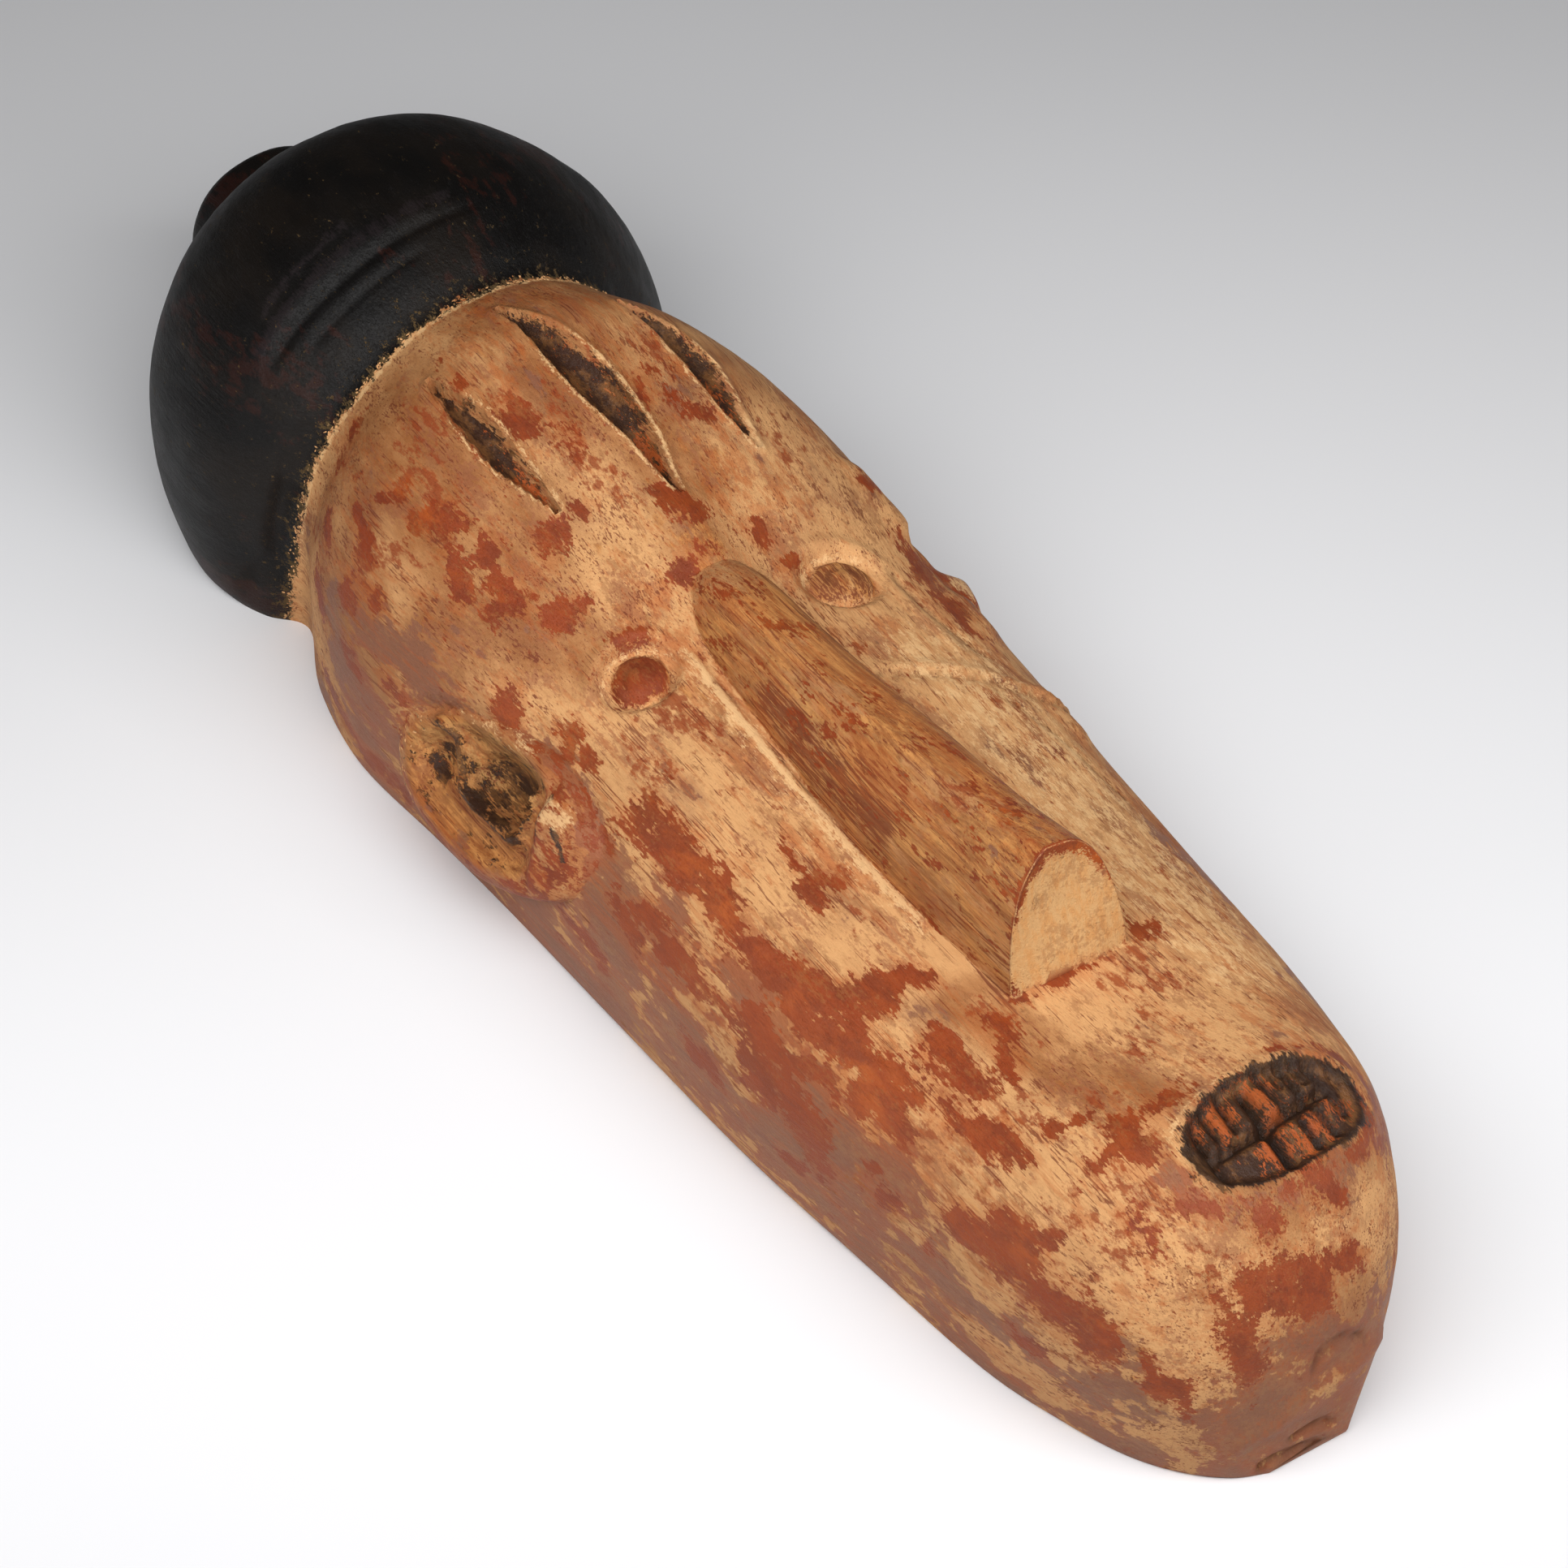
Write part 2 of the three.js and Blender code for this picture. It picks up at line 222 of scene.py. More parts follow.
def rise(low, high, value):
    """0 up to low, 1 from high, smooth between them."""
    t = np.clip((value - low) / (high - low), 0, 1)
    return t * t * (3 - 2 * t)


def hump(away, width):
    return np.exp(-((away / width) ** 2))


def stroke_place(points, x, y):
    """For each x, y: distance from a drawn line, the line's own third number there, and the
    share of its length."""
    points = np.asarray(points, float)
    length = run_length(points[:, :2])
    if len(points) == 1:
        spot_x, spot_y, spot_width = points[0]
        return np.hypot(x - spot_x, y - spot_y), np.full(np.shape(x), spot_width), np.full(np.shape(x), 0.5)
    best = np.full(np.shape(x), 1e9)
    width, share = np.zeros(np.shape(x)), np.zeros(np.shape(x))
    for k in range(len(points) - 1):
        (ax, ay), (bx, by) = points[k, :2], points[k + 1, :2]
        dx, dy = bx - ax, by - ay
        t = np.clip(((x - ax) * dx + (y - ay) * dy) / max(dx * dx + dy * dy, 1e-9), 0, 1)
        away = np.hypot(x - ax - t * dx, y - ay - t * dy)
        nearer = away < best
        best = np.where(nearer, away, best)
        width = np.where(nearer, points[k, 2] + t * (points[k + 1, 2] - points[k, 2]), width)
        share = np.where(nearer, (length[k] + t * (length[k + 1] - length[k])) / length[-1], share)
    return best, width, share


# Relief of the body in mm: x, y are on the face; u, v run round and along the surface.
# Each eye: x, y, half-width and half-length of its boss. Each cut: its points, then its depth.
EYES = [(-38.5, 29, 8.8, 8.2), (35.5, 32.5, 10.2, 8.6)]
BROW_CUTS = [
    ([(-38.5, 150, 3), (-37, 130, 4.4), (-35.5, 110, 4.2), (-31, 87, 2.8)], 4.4),
    ([(-7, 163, 3.4), (-2, 144, 6.4), (2, 120, 6.8), (5, 98, 5.2), (4, 76, 3.0)], 5.6),
    ([(29, 150, 3.2), (36, 134, 4.8), (38.5, 118, 5), (37.5, 100, 4), (38, 84, 2.2)], 4.2),
]
MOUTH = {"x": 8.0, "y": -214.5, "half_width": 29.0, "half_height": 16.0, "turn": 8}
TOOTH_CUTS = [
    ([(-12, -217.5, 1.8), (3, -216.5, 2.0), (16, -214, 2.0), (28, -211, 1.6)], 4.2),
    ([(-20, -205, 1.2), (-21, -221, 1.2)], 2.6),
    ([(-14, -202, 1.6), (-16, -226, 1.6)], 3.6),
    ([(-9, -201, 1.2), (-10, -215, 1.2)], 2.4),
    ([(-2, -199, 1.2), (-4, -213, 1.4)], 2.6),
    ([(5, -203, 1.8), (3.5, -217, 2.0), (3, -231, 1.8)], 4.4),
    ([(12, -198, 1.2), (13, -213, 1.4)], 2.8),
    ([(14, -217, 1.2), (14, -228, 1.2)], 2.4),
    ([(20, -199, 1.4), (20.5, -213, 1.4), (22, -225, 1.2)], 3.2),
    ([(28, -200, 1.2), (29, -211, 1.4), (29, -219, 1.2)], 2.8),
    ([(16, -197, 0.9), (16, -206, 0.9)], 1.6),
    ([(24, -198, 0.9), (24, -207, 0.9)], 1.8),
    ([(33, -202, 0.9), (34, -209, 0.9)], 1.6),
]
# the ridge of paint along the left foot of the nose: u, v, half-width
NOSE_FOOT = [(-22.6, 344, 1.6), (-24, 320, 1.8), (-25.2, 290, 2.0), (-25, 250, 2.0), (-24, 222, 1.8)]
# grooves and cracks on the surface: u, v, half-width, then depth
SURFACE_CUTS = [
    ([(20, 310, 0.8), (34, 304, 1.1), (51, 297, 1.2), (62, 291, 1.2), (75, 282, 1)], 1.1),
    ([(51, 293, 1), (59, 271, 1), (64, 239, 0.8)], 0.7),
    ([(53, 352, 1), (55, 329, 1.2), (59, 312, 1.4), (62, 306, 1)], 1.4),
    ([(-20.4, 344, 0.5), (-21.8, 320, 0.6), (-23, 290, 0.6), (-22.8, 250, 0.6), (-21.8, 222, 0.6)], 0.9),
    ([(-16, 9, 1.2), (-8, 8.5, 1.6), (-2, 7, 1.2)], 2.6),
    ([(-10, 30, 1.4), (-7, 36, 1.6), (1, 37, 1.6), (9, 34, 1.4)], 1.2),
    ([(-31, 8, 1.5), (-17, 3, 2), (-4, 0, 2)], 1.8),
    ([(-158, 528, 3), (-132, 512, 3), (-98, 510, 2.5), (-92, 504, 1.5)], 2.6),
    ([(158, 528, 3), (132, 512, 3), (98, 510, 2.5)], 2.6),
    ([(-75, 531, 2.2), (-59, 532, 2.4), (-38, 532, 2.4), (-21, 533, 2), (10, 534, 1.6)], 1.1),
    ([(-60, 523, 1.4), (-38, 524, 1.4), (-12, 525, 1.2)], 0.7),
    ([(-31, 78, 0.5), (-24, 74, 0.6), (-14, 72, 0.5)], 0.6),
    ([(-48, 90, 0.5), (-36, 76, 0.6), (-26, 66, 0.5)], 0.6),
    ([(26, 190, 0.8), (30, 186, 1.0)], 0.8),
]
DARKENED_CUTS = 7  # how many of them, from the first, get the dark groove colour: grime in their cracks, and under the ledge on the right cheek a painted shadow
RAISED_LINES = [
    ([(48, 356, 2), (50, 334, 2.2), (52, 312, 2)], 0.9),
    ([(-75, 536, 3), (-38, 538, 3.4), (-5, 538, 3)], 0.5),
    ([(-9, 42, 4), (0, 42, 4.5), (6, 42, 4)], 0.6),
    ([(-34, 24, 3), (-22, 19, 3), (-9, 20, 3), (3, 24, 3), (26, 40, 3)], 1.3),
    (NOSE_FOOT, 0.8),
    ([(22, 313, 1.6), (36, 307.5, 1.8), (52, 300.5, 1.8), (63, 294.5, 1.8), (76, 285.5, 1.6)], 0.9),
    ([(74, 396, 7), (74, 386, 8), (77, 376, 7)], 2.6),
    ([(80, 352, 5)], 1.0),
    ([(75, 337, 6), (74, 326, 6)], 2.4),
    ([(71, 293, 5), (72, 282, 6), (73, 276, 5)], 1.9),
    ([(-1, 363, 12), (0, 388, 9)], 4.2),
]


def leaf(points, depth, x, y, lip):
    """A pointed gouge with a slightly raised lip."""
    away, width, share = stroke_place(points, x, y)
    half = np.maximum(width * np.sin(np.pi * np.clip(share, 0.02, 0.98)) ** 0.6, 0.3)
    inside = np.clip(1 - (away / half) ** 2, 0, 1)
    return -depth * inside ** 0.62 + lip * hump(away - half - 1.2, 1.3)


def groove(points, depth, x, y):
    away, width, share = stroke_place(points, x, y)
    ends = rise(0, 0.12, share) * rise(0, 0.12, 1 - share)
    return -depth * hump(away, width) * (0.35 + 0.65 * ends)


def mouth_reach(x, y):
    turn = math.radians(MOUTH["turn"])
    dx, dy = x - MOUTH["x"], y - MOUTH["y"]
    a = (dx * math.cos(turn) + dy * math.sin(turn)) / MOUTH["half_width"]
    b = (-dx * math.sin(turn) + dy * math.cos(turn)) / MOUTH["half_height"]
    return (np.abs(a) ** 2.3 + np.abs(b) ** 2.3) ** (1 / 2.3)


def relief(grid, u, v, shape):
    x, y, z = grid[..., 0], grid[..., 1], grid[..., 2]
    height = np.zeros(x.shape)
    front = rise(*FACE_FROM, z)
    eye_depth = shape.eye_depth / MM
    for eye_x, eye_y, half_width, half_length in EYES:
        dx, dy = x - eye_x, y - eye_y
        pit = np.hypot(dx / (half_width + 5), (dy - 0.5) / (half_length + 4.5))
        boss = np.hypot(dx / half_width, dy / half_length)
        height -= front * eye_depth * (1 - rise(0.7, 1.04, pit))
        height += front * (eye_depth + 0.5) * np.clip(1 - boss**2, 0, 1) ** 0.4
        height -= front * 0.5 * hump(boss - 0.5, 0.12) * rise(-3, 3, dy)
        height += front * 0.8 * hump(pit - 1.12, 0.12) * rise(-6, 8, dy)
    for points, depth in BROW_CUTS:
        height += front * shape.brow_depth * leaf(points, depth, x, y, 0.9)
    reach = mouth_reach(x, y)
    height -= front * shape.mouth_depth / MM * (1 - rise(0.86, 1.0, reach))
    height += front * 0.5 * hump(reach - 1.1, 0.08)
    teeth = front * (1 - rise(0.9, 1.02, reach))
    for points, depth in TOOTH_CUTS:
        away, width, _ = stroke_place(points, x, y)
        height -= teeth * depth * shape.tooth_depth * np.clip(1 - away / (1.7 * width), 0, 1) ** 1.2
    for points, depth in SURFACE_CUTS:
        height += groove(points, depth, u, v)
    for points, depth in RAISED_LINES:
        away, width, _ = stroke_place(points, u, v)
        height += depth * hump(away, width)
    return height * rise(0.5, 4, z)


def body_mesh(shape):
    grid, u, v = body_grid()
    grid = open_ears(grid + grid_normals(grid) * relief(grid, u, v, shape)[..., None])
    rows, columns = grid.shape[0] - 1, grid.shape[1] - 1
    faces = arch_faces(rows, columns)
    return grid.reshape(-1, 3), faces, BODY, u.ravel(), v.ravel()


def nose_mesh(rows=110, columns=76, edge=0.7):
    """The nose, closed at its blunt end by rings that shrink to the middle of the end face."""
    share = np.linspace(0, 1, rows + 1) ** 1.15
    line = smooth_rows(NOSE_LINE, share)
    y, left, right, top = (line[:, k, None] for k in range(4))
    turn = np.linspace(-1, 1, columns + 1)[None, :] * math.pi / 2
    power = 2 / NOSE["square"]
    x = np.where(turn < 0, left, right) * np.sign(turn) * np.abs(np.sin(turn)) ** power
    z = NOSE["base"] + (top - NOSE["base"]) * np.clip(np.cos(turn), 0, 1) ** power
    ridge = 1.9 * np.exp(-np.abs(x + 5 + 3 * share[:, None]) / 4.0) * rise(0.98, 0.8, share)[:, None]
    ahead = np.maximum(1 - share[:, None] / NOSE["lean_share"], 0)
    y = y + NOSE["lean"] * ahead * (z - NOSE["foot"]) / (top - NOSE["foot"])
    tube = np.stack([x, y, z + ridge * np.cos(turn)], axis=-1)
    middle = np.array([0, NOSE_LINE[0][0] + 3, NOSE["base"] + 25.0])
    rings = []
    for size in NOSE_END_RINGS:
        ring = tube[0] + (middle - tube[0]) * (1 - size)
        ring[:, 1] = tube[0, :, 1] * size + np.interp(ring[:, 2], *NOSE_END_PLANE) * (1 - size)
        rings.append(ring)
    tube[0, :, 1] += edge
    grid = np.concatenate([np.array(rings), tube])
    scale = np.array([*NOSE_END_RINGS] + [NOSE_SKIN] * (rows + 1))
    around = np.repeat(scale[:, None], columns + 1, axis=1)
    along = np.repeat(np.concatenate([0 * np.array(NOSE_END_RINGS), share])[:, None], columns + 1, axis=1)
    faces = arch_faces(len(grid) - 1, columns)
    return grid.reshape(-1, 3), faces, NOSE_PART, around.ravel(), along.ravel()


def turned(points, axis, degrees):
    return points @ np.array(Matrix.Rotation(math.radians(degrees), 3, axis)).T


def ear_surface(y, z, reach):
    """How far the ear stands out of its own plane: a rim, a shelf, a curled ridge round a deep
    bowl, and a lobe towards the chin."""
    out = EAR["depth"] * np.sqrt(np.clip(1 - reach**2, 0, 1))
    lobe = rise(-20, -29, y)
    dish = (1 - rise(0.58, 0.82, reach)) * (1 - lobe)
    out = out * (1 - dish) + 2.0 * dish
    bowl = np.hypot((y - EAR_BOWL[0]) / EAR_BOWL[2], (z - EAR_BOWL[1]) / EAR_BOWL[3])
    out = out - 6.5 * np.clip(1 - bowl**2, 0, 1) ** 0.6
    away, width, _ = stroke_place(EAR_RIDGE, y, z)
    out = out + 5.2 * hump(away, width) * rise(1.0, 0.85, reach)
    out = out - 3.0 * hump(np.hypot(y - EAR_PIT[0], z - EAR_PIT[1]), EAR_PIT[2])
    bump, _, _ = stroke_place([(-30, 6, 4), (-40, 7, 4)], y, z)
    return out + lobe * (2.2 * hump(bump, 5) - 1.6 * hump(y + 26, 2.2))


def open_ears(grid):
    """Sinks the head under the dish of each ear, so that the bowls stay open."""
    for side, away, along in EAR_PLACES:
        place = np.array([away, along, EAR["z"]], float)
        own = turned(turned(grid * [side, 1, 1] - place, "Y", EAR["lean"]), "X", -EAR["tilt"])
        out, y, z = own[..., 0], own[..., 1], own[..., 2]
        reach = np.hypot(y / EAR["half_length"], z / EAR["half_height"])
        floor = ear_surface(y, z, np.minimum(reach, 1)) - 1.4
        share = rise(1.0, 0.84, reach) * (out > floor)
        own = np.stack([out + (floor - out) * share, y, z], axis=-1)
        grid = (turned(turned(own, "X", EAR["tilt"]), "Y", -EAR["lean"]) + place) * [side, 1, 1]
    return grid


def ear_mesh(side, away, along, rings=42, columns=144):
    reach = np.linspace(0, 1, rings + 1)[1:, None] ** 0.8
    turn = np.linspace(0, 2 * math.pi, columns, endpoint=False)[None, :]
    wobble = 1 + 0.018 * np.sin(3 * turn + 1) + 0.012 * np.sin(7 * turn)
    y = EAR["half_length"] * reach * np.cos(turn) * wobble
    z = EAR["half_height"] * reach * np.sin(turn) * wobble
    flat = reach + 0 * turn
    front = np.stack([ear_surface(y, z, flat), y, z], axis=-1)
    back = np.stack([-EAR["depth"] * np.sqrt(np.clip(1 - flat**2, 0, 1)), y, z], axis=-1)
    grid = np.concatenate([front, back[:-1][::-1]])
    centre = np.array([[ear_surface(0.0, 0.0, 0.0), 0, 0], [-EAR["depth"], 0, 0]], float)
    points = np.concatenate([grid.reshape(-1, 3), centre])
    own = points.copy()
    faces = []
    for i in range(len(grid) - 1):
        for j in range(columns):
            k = (j + 1) % columns
            faces.append([i * columns + j, (i + 1) * columns + j, (i + 1) * columns + k, i * columns + k])
    top, bottom = len(points) - 2, len(points) - 1
    end = (len(grid) - 1) * columns
    for j in range(columns):
        k = (j + 1) % columns
        faces.append([top, j, k])
        faces.append([bottom, end + k, end + j])
    points = turned(turned(points, "X", EAR["tilt"]), "Y", -EAR["lean"]) + [away, along, EAR["z"]]
    if side < 0:
        points[:, 0] *= -1
        faces = [face[::-1] for face in faces]
    return points, faces, EAR_PART, own[:, 1], own[:, 2]


def knob_mesh(columns=72):
    edge, radius = KNOB["edge"], KNOB["radius"]
    profile = [(KNOB["root"], radius), (KNOB["root"] + 12, radius), (KNOB["end"] - edge - 8, radius)]
    for angle in np.linspace(0, math.pi / 2, 8):
        profile.append((KNOB["end"] - edge + edge * math.sin(angle), radius - edge + edge * math.cos(angle)))
    profile += [(KNOB["end"], radius * share) for share in (0.5, 0.25)]
    turn = np.linspace(0, 2 * math.pi, columns, endpoint=False)
    facets = 1 + 0.012 * np.cos(5 * turn + 0.6)
    points, faces = [], []
    for y, reach in profile:
        points.append(np.stack([reach * facets * np.cos(turn), 0 * turn + y,
                                KNOB["z"] + reach * facets * np.sin(turn)], axis=-1))
    for i in range(len(profile) - 1):
        for j in range(columns):
            k = (j + 1) % columns
            faces.append([i * columns + j, i * columns + k, (i + 1) * columns + k, (i + 1) * columns + j])
    faces.append(list(range(columns))[::-1])
    faces.append([(len(profile) - 1) * columns + k for k in range(columns)])
    faces = [face[::-1] for face in faces]
    points = np.concatenate(points)
    return points, faces, KNOB_PART, 0 * points[:, 0], points[:, 1]


def hollow_mesh(rows=96, columns=64):
    share = np.linspace(0, 1, rows + 1)
    y = HOLLOW["chin"] + (HOLLOW["crown"] - HOLLOW["chin"]) * share
    fine = np.linspace(0, 1, FINE_STEPS)
    table = smooth_rows(SECTIONS, fine)
    outer = smooth_rows(SECTIONS, np.interp(y, table[:, RIM_Y], fine))
    swell = np.sqrt(1 - (HOLLOW["fullest"] * (2 * share - 1)) ** HOLLOW["rounding"])
    inner = outer.copy()
    inner[:, TOP_Y] = y
    for rim, wide in ((RIM_L, WIDE_L), (RIM_R, WIDE_R)):
        inner[:, rim] = np.maximum(outer[:, rim] - HOLLOW["wall"], HOLLOW["least"]) * swell
        widest = np.minimum(outer[:, wide], outer[:, rim] + HOLLOW["belly"])
        inner[:, wide] = np.maximum(widest - HOLLOW["wall"], HOLLOW["least"]) * swell
    inner[:, TOP] = (np.minimum(outer[:, TOP], HOLLOW["highest"]) - HOLLOW["roof"]) * swell
    inner[:, WIDE_Z] = outer[:, WIDE_Z] * swell
    across = np.linspace(-1, 1, columns + 1)
    grid = section_points(inner, across)
    grid[:, [0, -1], 2] = -HOLLOW["below"]
    around = np.repeat(across[None, :], rows + 1, axis=0)
    along = np.repeat(y[:, None], columns + 1, axis=1)
    return grid.reshape(-1, 3), arch_faces(rows, columns), HOLLOW_PART, around.ravel(), along.ravel()


# Where each finish lies: u, v and half-width along each stroke, mm
OCHRE_STROKES = [
    [(-67, 310, 5), (-65, 299, 7), (-65, 285, 7), (-63, 274, 6), (-65, 261, 5), (-67, 253, 4),
     (-67, 242, 5), (-64, 230, 7), (-63, 217, 9), (-62, 205, 8), (-66, 198, 5)],
    [(-59, 213, 8), (-48, 209, 8), (-40, 209, 5), (-34, 205, 3)], [(-58, 272, 4)],
    [(-40, 266, 3), (-41, 259, 2)], [(-40, 253, 4), (-42, 245, 3)], [(-36, 247, 3)],
    [(-80, 230, 5), (-80, 221, 5)], [(-90, 226, 6), (-89, 211, 8), (-90, 196, 8)],
    [(-77, 209, 2), (-76, 203, 2)], [(-70, 203, 2), (-80, 192, 2)],
    [(-67, 190, 6), (-66, 179, 6), (-69, 169, 4)],
    [(-62, 198, 4), (-58, 182, 3), (-55, 167, 3), (-53, 150, 4), (-52, 134, 3)],
    [(-46, 184, 5), (-46, 177, 4), (-47, 167, 5), (-46, 161, 4)],
    [(-29, 179, 4), (-32, 171, 4), (-36, 161, 2)], [(-21, 182, 2), (-10, 182, 2), (1, 182, 2)],
    [(-78, 485, 3)], [(-63, 492, 2), (-70, 487, 2)], [(-85, 459, 3), (-86, 450, 3), (-90, 442, 2)],
    [(-95, 474, 3), (-100, 468, 2)], [(-103, 448, 4), (-103, 441, 3)], [(-96, 432, 4)],
    [(-69, 436, 4), (-60, 430, 4), (-58, 424, 2)], [(-63, 426, 2), (-66, 415, 3), (-70, 405, 3)],
    [(-55, 412, 4), (-60, 411, 3)], [(-60, 401, 4), (-54, 392, 4)], [(-64, 394, 4), (-59, 392, 3)],
    [(-37, 403, 4), (-40, 398, 4)], [(-24, 405, 3)], [(-51, 380, 3), (-46, 378, 4), (-40, 378, 2)],
    [(-26, 447, 4), (-25, 439, 4), (-21, 439, 2)], [(-18, 435, 2), (-15, 427, 3)],
    [(0, 400, 2), (2, 390, 5), (4, 388, 4)], [(-3, 374, 3), (-9, 369, 5), (-7, 365, 4), (-6, 361, 2)],
    [(21, 441, 2)], [(14, 439, 2), (13, 433, 3)], [(23, 429, 2), (26, 423, 3), (29, 420, 2)],
    [(-41, 364, 2), (-36, 361, 3), (-30, 360, 2)], [(-33, 465, 2)], [(-73, 453, 2), (-65, 448, 2)],
    [(19, 376, 3), (19, 372, 2)], [(-75, 371, 4), (-77, 365, 5), (-81, 358, 3)],
    [(-66, 350, 2), (-66, 345, 3), (-70, 342, 2)], [(-66, 338, 2), (-66, 333, 2)],
    [(-80, 345, 2), (-79, 335, 2), (-79, 322, 2)], [(-76, 314, 2), (-79, 308, 2)],
    [(-113, 471, 2), (-124, 459, 2)], [(-119, 442, 2), (-121, 430, 2)],
    [(-147, 457, 3), (-152, 444, 3), (-155, 429, 3), (-147, 405, 2)], [(-113, 417, 2), (-110, 405, 2)],
    [(50, 264, 3)], [(70, 369, 3), (69, 357, 4), (66, 339, 4), (63, 323, 3), (68, 318, 2)],
    [(70, 390, 2), (75, 388, 2)], [(24, 186, 2), (28, 184, 2)], [(21, 361, 2), (25, 362, 2)],
    [(-43, 96, 4), (-42, 91, 3)], [(-27, 121, 5), (-30, 111, 4)], [(-42, 116, 3), (-35, 117, 3)],
    [(-11, 123, 4), (-17, 121, 3)], [(-13, 79, 4), (-13, 76, 3)], [(-30, 92, 2), (-23, 86, 2)],
    [(9, 74, 3), (8, 80, 4), (5, 85, 2)], [(38, 101, 4), (35, 92, 4), (33, 86, 3)],
    [(-26, 65, 4), (-18, 63, 5), (-11, 61, 6), (-5, 57, 6)], [(-25, 59, 3), (-14, 55, 5), (-6, 53, 5)],
    [(7, 59, 4), (4, 57, 3)], [(-32, 67, 2), (-30, 53, 6), (-29, 44, 4)],
    [(-78, 138, 5), (-77, 127, 6), (-76, 115, 7), (-76, 100, 7), (-71, 85, 7), (-68, 78, 4)],
    [(-68, 124, 5), (-67, 117, 5)], [(-93, 144, 2)], [(-90, 165, 3), (-89, 158, 2)],
    [(-99, 186, 4), (-98, 194, 3)], [(-39, 136, 2), (-33, 134, 2)], [(-83, 238, 2), (-83, 249, 2)],
    [(-82, 285, 4), (-84, 272, 5), (-82, 266, 4), (-83, 253, 4)], [(-89, 297, 3), (-91, 282, 3)],
    [(-104, 253, 4), (-105, 240, 4)], [(-109, 207, 2), (-110, 198, 2)], [(-110, 318, 2), (-112, 299, 3)],
    [(-88, 173, 2), (-84, 171, 2)], [(-64, 110, 3)], [(-98, 106, 3), (-95, 95, 3)],
    [(-60, 65, 4), (-52, 53, 4)],
]
CAP_BORDER = [(-175, 512), (-104, 502), (-86, 503), (-55, 501), (-32, 503), (4, 503), (60, 501),
              (100, 503), (175, 512)]
HAZE_STROKES = [
    [(-50, 470, 34), (-60, 400, 34), (-50, 370, 18)], [(0, 450, 26), (10, 400, 14)], [(45, 440, 22)],
    [(-90, 400, 22)], [(-30, 190, 12), (-20, 130, 12)], [(-10, 85, 20), (20, 90, 16)], [(0, 45, 20)],
    [(-90, 470, 30), (-120, 430, 30)], [(0, 490, 30), (50, 480, 26)],
]
GLOW_STROKES = [
    [(8, -203, 3.6), (9, -211, 3.6)], [(-5, -204, 3), (-6, -210, 3)], [(17, -220, 3.4), (24, -217, 3)],
    [(8, -221, 2.6), (10, -227, 2.2)], [(0, -222, 1.6), (-1, -228, 1.6)], [(-13, -208, 1.6)],
    [(-34, 102, 2.6), (-32, 92, 2.4)], [(5, 100, 2.2), (5, 88, 2)], [(37, 110, 1.2), (37, 100, 1.6)],
]
# Lines of the painted highlight along the crease of the cap: u, v and half-width, mm
CREASE_HIGHLIGHT_LINES = [[(-76, 537, 3), (-50, 539, 3), (-20, 540, 3), (2, 541, 3)], [(-66, 545, 2), (-30, 548, 2)]]
EDGE_REACH = 11.0  # twice how far a stroke fades on each side of its edge, mm
LEAST_STROKE, FULL_STROKE = 0.08, 0.84  # how weak and how strong a field of strokes may be
MARKS = ("ochre", "chine", "cap", "dark", "glow", "groove", "pale", "haze", "bare", "olive",
         "mauve", "raw", "edge", "stroke", "crust", "dust", "crease_highlight", "tool")


def strongest(strokes, u, v, strength):
    """The strongest of the strokes at each u, v, by the distance from them and their width."""
    field = np.zeros(np.shape(u))
    for points in strokes:
        away, width, _ = stroke_place(points, u, v)
        field = np.maximum(field, strength(away, width))
    return field


def stroke_field(strokes, u, v):
    """A half at the edge of a stroke, more within it and less outside."""
    return strongest(strokes, u, v, lambda away, width: np.clip(
        0.5 + (width - away) / EDGE_REACH, LEAST_STROKE, FULL_STROKE))


def no_marks(count):
    return {name: np.zeros(count) for name in MARKS}


def strengthen(marks, name, value):
    marks[name] = np.maximum(marks[name], value)


